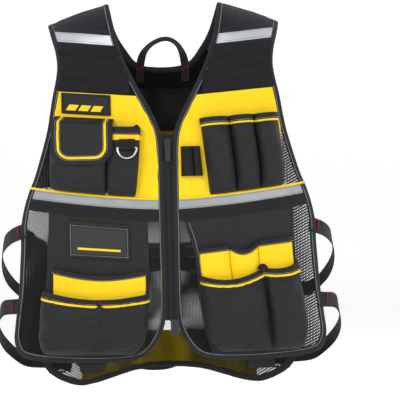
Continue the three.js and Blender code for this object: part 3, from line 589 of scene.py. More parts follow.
class Shade:
    """A material under construction."""

    def __init__(self, name: str, roughness: float, specular: float = 0.25) -> None:
        """Starts a material with one Principled shader.

        Args:
            name: The material's name.
            roughness: Its roughness.
            specular: The strength of its reflections.
        """
        self.material = bpy.data.materials.new(name)
        self.material.use_nodes = True
        self.tree = self.material.node_tree
        self.surface = self.tree.nodes["Principled BSDF"]
        self.surface.inputs["Roughness"].default_value = roughness
        self.surface.inputs["Specular IOR Level"].default_value = specular

    def node(
        self, kind: str, settings: dict[str, object], inputs: Sequence[object] = (), output: int = 0
    ) -> Value:
        """Adds one node.

        Args:
            kind: The node's type.
            settings: Its properties, which are set first.
            inputs: Values or links for its sockets in order, None to leave one.
            output: Which output is returned.

        Returns:
            The chosen output.
        """
        made = self.tree.nodes.new(kind)
        for key, value in settings.items():
            setattr(made, key, value)
        for socket, value in zip(made.inputs, inputs):
            self.link(value, socket)
        return Value(self, made.outputs[output])

    def link(self, value: object, socket: Socket) -> None:
        """Feeds a value or a link to a socket.

        Args:
            value: The value or link, None to leave the socket.
            socket: The socket.
        """
        if isinstance(value, Value):
            self.tree.links.new(value.socket, socket)
        elif value is not None:
            socket.default_value = value

    def feed(self, name: str, value: object) -> None:
        """Feeds one socket of the Principled shader."""
        self.link(value, self.surface.inputs[name])

    def cloth(self) -> tuple[Value, Value, Value]:
        """The place on the cloth in millimetres: across, along and as a vector.

        Returns:
            The three values.
        """
        made = self.tree.nodes.new("ShaderNodeUVMap")
        made.uv_map = "cloth"
        place = Value(self, made.outputs[0])
        scaled = self.node("ShaderNodeVectorMath", {"operation": "SCALE"}, (place,))
        scaled.socket.node.inputs["Scale"].default_value = 1 / MM
        parts = self.tree.nodes.new("ShaderNodeSeparateXYZ")
        self.tree.links.new(scaled.socket, parts.inputs[0])
        return Value(self, parts.outputs[0]), Value(self, parts.outputs[1]), scaled

    def space(self) -> Value:
        """The place in the vest, in metres."""
        return self.node("ShaderNodeTexCoord", {}, (), 3)

    def noise(self, place: Value, scale: float, detail: float = 2.0) -> Value:
        """Soft noise of 0 to 1 at a number of waves per unit."""
        return self.node("ShaderNodeTexNoise", {}, (place, None, scale, detail))

    def mixed(self, share: Value | float, first: Colour, second: Colour) -> Value:
        """A colour between two others.

        Args:
            share: The share of the second.
            first: The first colour.
            second: The second colour.

        Returns:
            The colour.
        """
        made = self.tree.nodes.new("ShaderNodeMix")
        made.data_type = "RGBA"
        self.link(share, made.inputs["Factor"])
        for socket, colour in zip([s for s in made.inputs if s.type == "RGBA"], (first, second)):
            self.link(colour if isinstance(colour, Value) else (*colour, 1), socket)
        return Value(self, [s for s in made.outputs if s.type == "RGBA"][0])

    def bump(self, height: Value, depth: float, strength: float = 1.0) -> None:
        """Raises the surface by a height of 0 to 1 times a depth in millimetres.

        Args:
            height: The height.
            depth: The depth.
            strength: The bump's strength.
        """
        made = self.tree.nodes.new("ShaderNodeBump")
        made.inputs["Strength"].default_value = strength
        made.inputs["Distance"].default_value = depth * MM
        self.tree.links.new(height.socket, made.inputs["Height"])
        self.tree.links.new(made.outputs[0], self.surface.inputs["Normal"])

    def sheen(self, weight: float, roughness: float = 0.5) -> None:
        """A soft sheen of loose fibres."""
        self.surface.inputs["Sheen Weight"].default_value = weight
        self.surface.inputs["Sheen Roughness"].default_value = roughness


def shades(colour: Colour, share: float) -> Colour:
    """A colour made lighter or darker."""
    return tuple(min(part * share, 1.0) for part in colour)


@dataclass(frozen=True)
class Woven:
    """Plain woven cloth, such as canvas.

    Attributes:
        name: The material's name.
        colour: Its colour.
        thread: The pitch of its threads, in millimetres.
        roughness: Its roughness.
        sheen: The weight of its sheen.
        cloud: How far its colour varies over large areas.
    """

    name: str
    colour: Colour
    thread: float = 0.9
    roughness: float = 0.55
    sheen: float = 0.02
    cloud: float = 0.2

    def make(self) -> Material:
        """Builds the material.

        Returns:
            The material.
        """
        shade = Shade(self.name, self.roughness)
        across, along, place = shade.cloth()
        pace = math.pi / self.thread
        warp = (across * pace).sine()
        weft = (along * pace).sine()
        weave = (warp * weft * 0.5) + 0.5
        fuzz = shade.noise(shade.space(), 1900.0, 3.0)
        cloud = shade.noise(shade.space(), 32.0, 3.0)
        height = weave * 0.75 + fuzz * 0.4
        tone = weave * 0.35 + fuzz * 0.3 + cloud * 0.45
        light, dark = shades(self.colour, 1 + self.cloud), shades(self.colour, 1 - self.cloud)
        shade.feed("Base Color", shade.mixed(tone.least(1.0), dark, light))
        shade.feed("Roughness", shade.noise(place, 0.12) * 0.16 + (self.roughness - 0.08))
        shade.bump(height, self.thread * 0.22, 0.7)
        shade.sheen(self.sheen)
        return shade.material


@dataclass(frozen=True)
class Ribbed:
    """Webbing or binding tape, with ribs along or across it.

    Attributes:
        name: The material's name.
        colour: Its colour.
        rib: The pitch of its ribs, in millimetres.
        herringbone: Whether the ribs lean to and fro.
        roughness: Its roughness.
    """

    name: str
    colour: Colour
    rib: float = 1.5
    herringbone: bool = True
    roughness: float = 0.72

    def make(self) -> Material:
        """Builds the material.

        Returns:
            The material.
        """
        shade = Shade(self.name, self.roughness)
        across, along, place = shade.cloth()
        lean = across.size() if self.herringbone else across * 0.0
        if self.herringbone:
            fold = shade.node("ShaderNodeMath", {"operation": "PINGPONG"}, (across, 3.2))
            lean = fold
        ribs = ((along + lean) * (math.tau / self.rib)).sine() * 0.5 + 0.5
        fuzz = shade.noise(shade.space(), 1500.0, 3.0)
        cloud = shade.noise(shade.space(), 25.0)
        tone = ribs * 0.45 + fuzz * 0.3 + cloud * 0.3
        light, dark = shades(self.colour, 1.45), shades(self.colour, 0.6)
        shade.feed("Base Color", shade.mixed(tone.least(1.0), dark, light))
        shade.feed("Roughness", shade.noise(place, 0.2) * 0.15 + (self.roughness - 0.07))
        shade.bump(ribs * 0.8 + fuzz * 0.3, self.rib * 0.16, 0.8)
        shade.sheen(0.02)
        return shade.material


@dataclass(frozen=True)
class Looped:
    """Brushed loop cloth."""

    name: str
    colour: Colour

    def make(self) -> Material:
        """Builds the material.

        Returns:
            The material.
        """
        shade = Shade(self.name, 0.92)
        fine = shade.noise(shade.space(), 1300.0, 4.0)
        coarse = shade.noise(shade.space(), 260.0, 2.0)
        tone = fine * 0.7 + coarse * 0.4
        shade.feed("Base Color", shade.mixed(tone, shades(self.colour, 0.5), shades(self.colour, 1.7)))
        shade.bump(fine * 0.7 + coarse * 0.5, 0.55, 0.9)
        shade.sheen(0.06, 0.6)
        return shade.material


@dataclass(frozen=True)
class AirMesh:
    """Spacer mesh with small round holes in slanting rows."""

    name: str
    colour: Colour
    pitch: float = 3.4
    dark: float = 0.3
    light: float = 1.7

    def make(self) -> Material:
        """Builds the material.

        Returns:
            The material.
        """
        shade = Shade(self.name, 0.85)
        across, along, _ = shade.cloth()
        pace = math.tau / self.pitch
        slant = ((across * 0.9 + along) * pace).sine()
        other = ((across * 0.9 - along) * pace).sine()
        holes = (slant * other * 0.5 + 0.5).powered(1.5)
        fuzz = shade.noise(shade.space(), 1700.0, 3.0)
        # The colour runs from dark in the holes to light on the raised cells between them; in the black air
        # mesh this is painted shade in the holes and painted light on the cells.
        first, last = shades(self.colour, self.dark), shades(self.colour, self.light)
        colour = shade.mixed((holes + fuzz * 0.25).least(1.0), first, last)
        shade.feed("Base Color", colour)
        shade.bump(holes * 0.9 + fuzz * 0.2, 0.8, 0.9)
        shade.sheen(0.03)
        return shade.material


@dataclass(frozen=True)
class Reflective:
    """Silver tape of fine glass beads, with a faint grid."""

    name: str
    colour: Colour
    metallic: float = 0.25

    def make(self) -> Material:
        """Builds the material.

        Returns:
            The material.
        """
        shade = Shade(self.name, 0.42)
        across, along, _ = shade.cloth()
        grid = ((across * (math.tau / 2.2)).sine() * (along * (math.tau / 2.2)).sine()).size()
        beads = shade.noise(shade.space(), 2600.0, 2.0)
        wear = shade.noise(shade.space(), 45.0, 4.0)
        tone = (grid * 0.12 + beads * 0.35 + wear * 0.6).least(1.0)
        shade.feed("Base Color", shade.mixed(tone, shades(self.colour, 0.78), shades(self.colour, 1.12)))
        shade.feed("Roughness", wear * 0.2 + 0.3)
        shade.surface.inputs["Metallic"].default_value = self.metallic
        shade.bump(beads * 0.5 + grid * 0.2, 0.12, 0.5)
        return shade.material


@dataclass(frozen=True)
class Thread:
    """Sewing thread and net yarn."""

    name: str
    colour: Colour
    roughness: float = 0.7

    def make(self) -> Material:
        """Builds the material.

        Returns:
            The material.
        """
        shade = Shade(self.name, self.roughness)
        fuzz = shade.noise(shade.space(), 2200.0, 2.0)
        shade.feed("Base Color", shade.mixed(fuzz, shades(self.colour, 0.65), shades(self.colour, 1.35)))
        shade.bump(fuzz, 0.15, 0.6)
        return shade.material


@dataclass(frozen=True)
class Moulded:
    """Moulded plastic or plated metal, with fine scratches.

    Attributes:
        name: The material's name.
        colour: Its colour.
        roughness: Its roughness.
        metallic: 1 for metal.
        coat: The weight of a clear coat.
    """

    name: str
    colour: Colour
    roughness: float = 0.4
    metallic: float = 0.0
    coat: float = 0.0

    def make(self) -> Material:
        """Builds the material.

        Returns:
            The material.
        """
        shade = Shade(self.name, self.roughness, 0.5)
        grain = shade.noise(shade.space(), 900.0, 3.0)
        wear = shade.noise(shade.space(), 90.0, 4.0)
        shade.feed("Base Color", shade.mixed(wear, shades(self.colour, 0.85), shades(self.colour, 1.15)))
        shade.feed("Roughness", wear * 0.14 + grain * 0.06 + (self.roughness - 0.1))
        shade.surface.inputs["Metallic"].default_value = self.metallic
        shade.surface.inputs["Coat Weight"].default_value = self.coat
        shade.surface.inputs["Coat Roughness"].default_value = 0.12
        shade.bump(grain, 0.05, 0.4)
        return shade.material


MADE: dict["Finish", Material] = {}


class Finish(Enum):
    """Every finish of the vest, with its slot in the record."""

    CANVAS = Woven("canvas", (0.0115, 0.0118, 0.014), 1.0, 0.6, 0.02, 0.3), "canvas_black"
    YELLOW = Woven("yellow", (0.87, 0.585, 0.004), 0.9, 0.6, 0.0, 0.06), "yellow"
    # The hem panel's yellow is brighter than the yellow canvas's: painted light that makes up for the shade
    # it lies in. Its holes are black.
    HEM = AirMesh("hem", (1.0, 0.72, 0.004), 3.6, 0.0, 1.0), "yellow"
    SLATE = Woven("slate", (0.075, 0.082, 0.092), 0.8, 0.62, 0.02, 0.12), "slate_grey"
    WEBBING = Ribbed("webbing", (0.008, 0.0082, 0.009), 1.6), "webbing_black"
    BINDING = Ribbed("binding", (0.013, 0.0133, 0.015), 1.1, False), "tape_black"
    LOOP = Looped("loop", (0.006, 0.007, 0.012)), "loop_navy"
    AIR_MESH = AirMesh("air_mesh", (0.009, 0.0093, 0.011)), "air_mesh"
    SILVER = Reflective("silver", (0.53, 0.56, 0.595)), "reflective"
    GREY = Reflective("grey", (0.32, 0.337, 0.36)), "reflective"
    NET = Thread("net", (0.007, 0.007, 0.008), 0.7), "net_black"
    THREAD = Thread("thread", (0.5, 0.51, 0.54)), "thread_grey"
    RED = Thread("red", (0.56, 0.02, 0.028)), "thread_red"
    DARK_THREAD = Thread("dark_thread", (0.05, 0.052, 0.058)), "thread_grey"
    PLASTIC = Moulded("plastic", (0.012, 0.012, 0.013), 0.38), "plastic_black"
    NICKEL = Moulded("nickel", (0.72, 0.70, 0.66), 0.24, 1.0), "nickel"
    FILM = Moulded("film", (0.008, 0.008, 0.01), 0.34, 0.0, 0.15), "window_film"

    @property
    def slot(self) -> str:
        """The record's material slot."""
        return self.value[1]

    def material(self) -> Material:
        """The material, which is made once.

        Returns:
            The material.
        """
        if self not in MADE:
            MADE[self] = self.value[0].make()
        return MADE[self]


def dress(
    shell: Shell, name: str, finish: Finish, replaces: Sequence[str] = (), sharp: float = 50.0
) -> Object:
    """Makes a shell a piece in one of the finishes.

    Args:
        shell: The mesh data.
        name: The piece's name.
        finish: Its finish.
        replaces: The frame's nodes that it stands for.
        sharp: The angle, in degrees, past which an edge is shaded sharp.

    Returns:
        The piece.
    """
    mesh = bpy.data.meshes.new(name)
    mesh.from_pydata((shell.verts * MM).tolist(), [], shell.faces)
    layer = mesh.uv_layers.new(name="cloth")
    corners = np.empty(len(mesh.loops), np.int32)
    mesh.loops.foreach_get("vertex_index", corners)
    layer.data.foreach_set("uv", (shell.uvs[corners] * MM).astype(np.float32).ravel())
    mesh.validate()
    obj = bpy.data.objects.new(name, mesh)
    bpy.context.scene.collection.objects.link(obj)
    Workshop.face_out(obj)
    obj.data.materials.clear()
    obj.data.materials.append(finish.material())
    obj.data.set_sharp_from_angle(angle=math.radians(sharp))
    return Workshop.settle(obj, finish.slot, replaces)


class Cloth:
    """Sheets of cloth cut to an outline on the body."""

    @staticmethod
    def folds(seed: int, size: float = 0.5) -> Callable[[np.ndarray, np.ndarray], np.ndarray]:
        """Slight folds of a sewn-down tape or panel."""
        return lambda x, y: size * ripple(x, y, 45, seed) + size * 0.5 * crease(x, y, 38, seed + 5)

    @staticmethod
    def cells(
        loops: Sequence[Points], holes: Sequence[Points], step: float
    ) -> tuple[Points, list[tuple[int, ...]]]:
        """Triangles inside every loop and outside every hole.

        Args:
            loops: Closed outlines in the plane, whose common area is kept.
            holes: Closed outlines that are cut away.
            step: The triangles' size.

        Returns:
            The points and the triangles.
        """
        low = np.max([loop.min(axis=0) for loop in loops], axis=0)
        high = np.min([loop.max(axis=0) for loop in loops], axis=0)
        xs = np.arange(low[0] + step / 2, high[0], step)
        rows = [np.zeros((0, 2))]
        for j, y in enumerate(np.arange(low[1] + step / 2, high[1], step * 0.87)):
            rows.append(points_of(xs + (step / 2 if j % 2 else 0), np.full(len(xs), y)))
        inner = np.vstack(rows)
        gaps = np.full(len(inner), np.inf)
        for point in np.vstack([*loops, *holes]):
            gaps = np.minimum(gaps, np.hypot(*(inner - point).T))
        points = np.vstack([*loops, *holes, inner[gaps > step * 0.5]])
        edges = []
        first = 0
        for loop in (*loops, *holes):
            ring = [first + i for i in range(len(loop))]
            edges += list(zip(ring, ring[1:] + ring[:1]))
            first += len(loop)
        verts, _, faces, *_ = delaunay_2d_cdt([Vector(p) for p in points], edges, [], 0, 1e-4)
        flat = np.array([tuple(v) for v in verts])
        faces = np.array([tuple(f) for f in faces])
        middles = flat[faces].mean(axis=1)
        kept = np.ones(len(faces), bool)
        for loop in loops:
            kept &= Path.inside(loop, middles)
        for hole in holes:
            kept &= ~Path.inside(hole, middles)
        used, renumbered = np.unique(faces[kept], return_inverse=True)
        return flat[used], [tuple(face) for face in renumbered.reshape(-1, 3).tolist()]

    @staticmethod
    def walled(outer: Points, inner: Points, flat: Points, faces: list[tuple[int, ...]]) -> Shell:
        """A closed wall from two layers of the same triangles.

        Args:
            outer: The outer points.
            inner: The inner points.
            flat: The places on the cloth.
            faces: The triangles.

        Returns:
            The closed shell.
        """
        count = len(outer)
        uses: dict[tuple[int, int], tuple[int, int]] = {}
        for face in faces:
            for a, b in zip(face, face[1:] + face[:1]):
                key = (min(a, b), max(a, b))
                if key in uses:
                    uses[key] = (-1, -1)
                else:
                    uses[key] = (a, b)
        rim = [(b, a, a + count, b + count) for a, b in uses.values() if a >= 0]
        under = [tuple(i + count for i in reversed(face)) for face in faces]
        return Shell(np.vstack([outer, inner]), [*faces, *under, *rim], np.vstack([flat, flat]))

    @classmethod
    def cut(
        cls, face: Face, loops: Sequence[Points], low: float, thick: float, step: float = 6.0,
        holes: Sequence[Points] = (), shape: Callable[[np.ndarray, np.ndarray], np.ndarray] | None = None,
        filled: bool = False,
    ) -> Shell:
        """A sheet of cloth on the body.

        Args:
            face: The front or the back.
            loops: Closed outlines in x and z, whose common area is kept.
            low: The height of its inner side over the body.
            thick: Its thickness.
            step: The size of its triangles.
            holes: Closed outlines that are cut away.
            shape: Extra height at x and the length of cloth, for folds.
            filled: Whether its inner side stays on the body, as a pad's does.

        Returns:
            The closed shell.
        """

        def flattened(outline: Points) -> Points:
            """An outline as evenly spaced points of the flat cloth."""
            return cls.flattened(Path.even(np.vstack([outline, outline[:1]]), step)[:-1])

        points, faces = cls.cells([flattened(o) for o in loops], [flattened(o) for o in holes], step)
        lift = low + (shape(points[:, 0], points[:, 1]) if shape else 0.0 * points[:, 0])
        outer = Body.place(face, points, lift + thick)
        inner = Body.place(face, points, low if filled else lift)
        return cls.walled(outer, inner, points * (1, -1), faces)

    @staticmethod
    def flattened(outline: Points) -> Points:
        """A closed outline as flat cloth, cut off at the shoulder seam.

        Args:
            outline: The closed outline.

        Returns:
            The outline on the flat cloth.
        """
        flat = Body.flat(outline)
        kept = []
        for here, there in zip(flat, np.roll(flat, -1, axis=0)):
            if here[1] >= 0:
                kept.append(here)
            if (here[1] < 0) != (there[1] < 0):
                share = here[1] / (here[1] - there[1])
                kept.append(here + (there - here) * share)
        return np.array(kept)


class Tubes:
    """Round pieces along lines: pipings, cords, wires and yarns."""

    @staticmethod
    def frames(points: Points, hint: Points) -> tuple[Points, Points]:
        """Two directions across a line, the first as near to the hint as it can be.

        Args:
            points: The line.
            hint: The direction out of the cloth at each point.

        Returns:
            The two directions at each point.
        """
        along = unit(np.gradient(points, axis=0))
        out = unit(hint - (hint * along).sum(axis=1, keepdims=True) * along)
        return out, np.cross(along, out)

    @classmethod
    def along(cls, points: Points, hint: Points, section: Points, closed: bool = False) -> Shell:
        """A closed section swept along a line.

        Args:
            points: The line.
            hint: The direction out of the cloth at each point.
            section: The section, as distances across and out.
            closed: Whether the line is a loop.

        Returns:
            The closed shell.
        """
        points = np.asarray(points, float)
        out, across = cls.frames(points, np.broadcast_to(hint, points.shape).astype(float))
        rows = (
            points[:, None]
            + across[:, None] * section[None, :, :1]
            + out[:, None] * section[None, :, 1:]
        )
        run = lengths(points)
        turn = lengths(section)
        uvs = np.stack(np.meshgrid(turn, run), axis=-1)
        shell = Shell.grid(rows, uvs, closed_u=True, closed_v=closed)
        return shell if closed else shell.capped(len(points), len(section))

    @staticmethod
    def ring(radius: float, sides: int = 8, flatness: float = 1.0) -> Points:
        """A round or oval section."""
        angles = np.arange(sides) * math.tau / sides
        return points_of(radius * np.cos(angles), radius * flatness * np.sin(angles))

    @staticmethod
    def band(wide: float, thick: float, corner: float = 0.5, parts: int = 6) -> Points:
        """A flat section with soft corners, centred.

        Args:
            wide: Its width.
            thick: Its thickness.
            corner: The size of its corners.
            parts: How many points each long side has.

        Returns:
            The section.
        """
        half, high = wide / 2, thick / 2
        corner = min(corner, high * 0.95)
        top = np.linspace(-half + corner, half - corner, parts)
        upper = points_of(top, np.full(parts, high))
        right = [[half, high - corner], [half, corner - high]]
        lower = points_of(top[::-1], np.full(parts, -high))
        left = [[-half, corner - high], [-half, high - corner]]
        return np.vstack([upper, right, lower, left])[::-1]


class Weaver:
    """Geometry Nodes trees that repeat yarns and stitches along lines."""

    @classmethod
    def tree(cls, name: str, sizes: Sequence[str], whole: Sequence[str] = ()) -> Tree:
        """A new tree with a geometry, some sizes, some whole numbers and a material as inputs.

        Args:
            name: The tree's name.
            sizes: The names of its sizes.
            whole: The names of its whole numbers.

        Returns:
            The tree.
        """
        made = bpy.data.node_groups.new(name, "GeometryNodeTree")
        face = made.interface
        face.new_socket("Geometry", in_out="INPUT", socket_type="NodeSocketGeometry")
        for size in sizes:
            face.new_socket(size, in_out="INPUT", socket_type="NodeSocketFloat")
        for count in whole:
            face.new_socket(count, in_out="INPUT", socket_type="NodeSocketInt")
        face.new_socket("Material", in_out="INPUT", socket_type="NodeSocketMaterial")
        face.new_socket("Geometry", in_out="OUTPUT", socket_type="NodeSocketGeometry")
        return made

    @staticmethod
    def node(tree: Tree, kind: str, settings: dict[str, object], links: dict[str, object]) -> bpy.types.Node:
        """Adds one node, with its inputs by name as sockets or values.

        Args:
            tree: The tree.
            kind: The node's type.
            settings: Its properties, which are set first.
            links: Its inputs by name.

        Returns:
            The node.
        """
        made = tree.nodes.new(kind)
        for key, value in settings.items():
            setattr(made, key, value)
        for key, value in links.items():
            socket = next(s for s in made.inputs if s.name == key and s.enabled)
            if isinstance(value, Socket):
                tree.links.new(value, socket)
            else:
                socket.default_value = value
        return made

    @classmethod
    def ended(cls, tree: Tree, start: bpy.types.Node, shape: Socket) -> None:
        """Ends a tree in real geometry with its material.

        Args:
            tree: The tree.
            start: Its input node.
            shape: The geometry to end in.
        """
        real = cls.node(tree, "GeometryNodeRealizeInstances", {}, {"Geometry": shape})
        links = {"Geometry": real.outputs[0], "Material": start.outputs["Material"]}
        dressed = cls.node(tree, "GeometryNodeSetMaterial", {}, links)
        end = tree.nodes.new("NodeGroupOutput")
        tree.links.new(dressed.outputs[0], end.inputs[0])

    @classmethod
    @cache
    def strands(cls) -> Tree:
        """Closed tubes along the edges of a mesh.

        Returns:
            The tree.
        """
        tree = cls.tree("strands", ["Radius", "Flatness"], ["Sides"])
        start = tree.nodes.new("NodeGroupInput")
        line = cls.node(tree, "GeometryNodeMeshToCurve", {}, {"Mesh": start.outputs["Geometry"]})
        level = cls.node(tree, "GeometryNodeSetCurveNormal", {"mode": "Z_UP"}, {"Curve": line.outputs[0]})
        links = {"Resolution": start.outputs["Sides"], "Radius": start.outputs["Radius"]}
        ring = cls.node(tree, "GeometryNodeCurvePrimitiveCircle", {"mode": "RADIUS"}, links)
        links = {"X": start.outputs["Flatness"], "Y": 1.0, "Z": 1.0}
        size = cls.node(tree, "ShaderNodeCombineXYZ", {}, links)
        links = {"Geometry": ring.outputs[0], "Scale": size.outputs[0]}
        flat = cls.node(tree, "GeometryNodeTransform", {}, links)
        links = {"Curve": level.outputs[0], "Profile Curve": flat.outputs[0], "Fill Caps": True}
        tube = cls.node(tree, "GeometryNodeCurveToMesh", {}, links)
        cls.ended(tree, start, tube.outputs[0])
        return tree

    @classmethod
    @cache
    def stitches(cls) -> Tree:
        """Small oval grains spaced along the edges of a mesh.

        Returns:
            The tree.
        """
        tree = cls.tree("stitches", ["Pitch", "Long", "Wide", "High"])
        start = tree.nodes.new("NodeGroupInput")
        line = cls.node(tree, "GeometryNodeMeshToCurve", {}, {"Mesh": start.outputs["Geometry"]})
        links = {"Curve": line.outputs[0], "Length": start.outputs["Pitch"]}
        even = cls.node(tree, "GeometryNodeResampleCurve", {"mode": "LENGTH"}, links)
        grain = cls.node(tree, "GeometryNodeMeshUVSphere", {}, {"Segments": 6, "Rings": 4, "Radius": 1.0})
        links = {"X": start.outputs["Long"], "Y": start.outputs["High"], "Z": start.outputs["Wide"]}
        size = cls.node(tree, "ShaderNodeCombineXYZ", {}, links)
        tangent = tree.nodes.new("GeometryNodeInputTangent")
        turn = cls.node(
            tree, "FunctionNodeAlignRotationToVector", {"axis": "X"}, {"Vector": tangent.outputs[0]}
        )
        links = {
            "Points": even.outputs[0], "Instance": grain.outputs[0], "Rotation": turn.outputs[0],
            "Scale": size.outputs[0],
        }
        set_out = cls.node(tree, "GeometryNodeInstanceOnPoints", {}, links)
        cls.ended(tree, start, set_out.outputs[0])
        return tree

    @classmethod
    def run(
        cls, name: str, lines: Sequence[Points], tree: Tree, inputs: dict[str, object],
        finish: Finish, replaces: Sequence[str] = (),
    ) -> Object:
        """A piece that a tree makes along lines.

        Args:
            name: The piece's name.
            lines: The lines in space, in millimetres.
            tree: The tree.
            inputs: Its other inputs by name, in metres.
            finish: The finish.
            replaces: The frame's nodes that it stands for.

        Returns:
            The piece.
        """
        verts = np.vstack(lines) * MM
        edges = []
        first = 0
        for line in lines:
            edges += [(first + i, first + i + 1) for i in range(len(line) - 1)]
            first += len(line)
        mesh = bpy.data.meshes.new(name)
        mesh.from_pydata(verts.tolist(), edges, [])
        obj = bpy.data.objects.new(name, mesh)
        bpy.context.scene.collection.objects.link(obj)
        material = finish.material()
        modifier = obj.modifiers.new(name, "NODES")
        modifier.node_group = tree
        for socket in tree.interface.items_tree:
            if socket.in_out == "INPUT" and socket.name in inputs:
                modifier[socket.identifier] = inputs[socket.name]
            elif socket.in_out == "INPUT" and socket.name == "Material":
                modifier[socket.identifier] = material
        obj = Workshop.baked(obj)
        obj.data.materials.clear()
        obj.data.materials.append(material)
        return Workshop.settle(obj, finish.slot, replaces)

    @classmethod
    def yarn(
        cls, name: str, lines: Sequence[Points], radius: float, finish: Finish, sides: int = 6,
        replaces: Sequence[str] = (), flatness: float = 1.0,
    ) -> Object:
        """Yarns, cords or threads of a radius in millimetres along lines."""
        inputs = {"Radius": radius * MM, "Sides": sides, "Flatness": flatness}
        return cls.run(name, lines, cls.strands(), inputs, finish, replaces)

    @classmethod
    def seam(
        cls, name: str, lines: Sequence[Points], finish: Finish, pitch: float = 3.3,
        size: tuple[float, float, float] = (1.25, 0.42, 0.35),
    ) -> Object:
        """Stitches along lines, with half their length, width and height in millimetres.

        Args:
            name: The piece's name.
            lines: The lines.
            finish: Its finish.
            pitch: From one stitch to the next.
            size: Half a stitch's length, width and height.

        Returns:
            The piece.
        """
        inputs = dict(zip(("Long", "Wide", "High"), (part * MM for part in size)))
        inputs["Pitch"] = pitch * MM
        return cls.run(name, lines, cls.stitches(), inputs, finish)


def cut(shares: Sequence[tuple[float, float]]) -> Points:
    """Lines of the cut, from shares of the vest's half width and length to x and z."""
    return np.array(shares) * (Body.HEM_HALF, -Body.LENGTH)


class Cut:
    """The lines that the vest is cut to, at positive x."""

    NECK_AND_FRONT = cut([
        (0.368, -0.09), (0.352, -0.043), (0.326, 0.016), (0.299, 0.067), (0.258, 0.118),
        (0.201, 0.169), (0.152, 0.208), (0.102, 0.247), (0.068, 0.276), (0.045, 0.303),
        (0.033, 0.34), (0.03, 0.39), (0.03, 0.56), (0.03, 0.745), (0.04, 0.785),
        (0.062, 0.815), (0.114, 0.851), (0.174, 0.873),
    ])
    FRONT_HEM = cut([(0.25, 0.883), (0.455, 0.888), (0.72, 0.885), (0.871, 0.879)])
    SIDE_AND_ARM = cut([
        (0.945, 0.868), (0.977, 0.835), (0.968, 0.788), (0.943, 0.71), (0.932, 0.647),
        (0.924, 0.598), (0.918, 0.535), (0.894, 0.488), (0.864, 0.45), (0.833, 0.42),
        (0.788, 0.363), (0.742, 0.295), (0.708, 0.216), (0.682, 0.166), (0.672, 0.132),
        (0.682, 0.093), (0.705, 0.059), (0.731, 0.019), (0.758, -0.03), (0.77, -0.09),
    ])
    BACK_NECK = cut([
        (0, 0.13), (0.068, 0.129), (0.136, 0.124), (0.189, 0.11), (0.235, 0.085),
        (0.284, 0.053), (0.318, 0.019), (0.348, -0.031), (0.36, -0.09),
    ])
    BACK_ARM = cut([
        (0.7, -0.09), (0.682, -0.02), (0.652, 0.031), (0.614, 0.093), (0.587, 0.147),
        (0.542, 0.203), (0.47, 0.287), (0.432, 0.364), (0.417, 0.442), (0.42, 0.504),
        (0.451, 0.555), (0.523, 0.605), (0.625, 0.642), (0.742, 0.667), (0.825, 0.695),
        (0.865, 0.745), (0.875, 0.815), (0.86, 0.871),
    ])
    BACK_HEM = cut([
        (0.818, 0.91), (0.765, 0.938), (0.686, 0.958), (0.583, 0.971), (0.485, 0.966),
        (0.364, 0.952), (0.235, 0.936), (0.114, 0.929), (0, 0.927),
    ])
    UNDER = 6.5  # how far from the edge a panel ends, inside the binding

    @classmethod
    def front(cls) -> Points:
        """The edge of one front, from the seam at the neck round to the seam at the shoulder."""
        rows = np.vstack([cls.NECK_AND_FRONT, cls.FRONT_HEM, cls.SIDE_AND_ARM])
        return Path.smooth(rows, 4.0)

    @classmethod
    def neck(cls) -> Points:
        """The back neckline, from the wearer's left to the right."""
        return Path.smooth(np.vstack([cls.BACK_NECK[:0:-1], Path.mirrored(cls.BACK_NECK)[::-1]]), 4.0)

    @classmethod
    def back(cls) -> Points:
        """The rest of the back's edge, from the wearer's right round to the left."""
        half = np.vstack([cls.BACK_ARM, cls.BACK_HEM])
        return Path.smooth(np.vstack([half * (-1, 1), half[-2::-1]]), 4.0)

    @classmethod
    def front_inside(cls, side: Side, inset: float) -> Points:
        """The outline of a front, moved in from its edge."""
        return Path.sided(side, Path.moved(cls.front(), inset))

    @classmethod
    def back_inside(cls, inset: float) -> Points:
        """The outline of the back, moved in from its edge."""
        return np.vstack([Path.moved(cls.neck(), inset), Path.moved(cls.back(), inset)])

    @staticmethod
    def slant(near: float, far: float, near_across: float, far_across: float) -> Line:
        """A straight line between two heights, in shares.

        Args:
            near: How far down it is at the near place.
            far: How far down it is at the far place.
            near_across: The near place.
            far_across: The far place.

        Returns:
            The line.
        """

        def line(x: np.ndarray) -> np.ndarray:
            """The height at x."""
            share = (np.abs(x) / Body.HEM_HALF - near_across) / (far_across - near_across)
            return -Body.LENGTH * (near + (far - near) * share)

        return line

    @staticmethod
    def belt(x: np.ndarray) -> np.ndarray:
        """The top of the chest tape."""
        return -Body.LENGTH * (0.4775 - 0.044 * np.minimum(np.abs(x) / Body.HEM_HALF, 1) ** 1.6)

    @classmethod
    def shoulder(cls, near: float, far: float) -> Line:
        """A line over the shoulder, by its heights at two places across it."""
        return cls.slant(near, far, 0.3, 0.7)

    @classmethod
    def hem(cls, x: np.ndarray) -> np.ndarray:
        """The line on which the lower pockets end."""
        return 0 * x - 0.869 * Body.LENGTH


def lines_from(line: Line, drop: float) -> Line:
    """The same line, moved down."""
    return lambda x: line(x) - drop


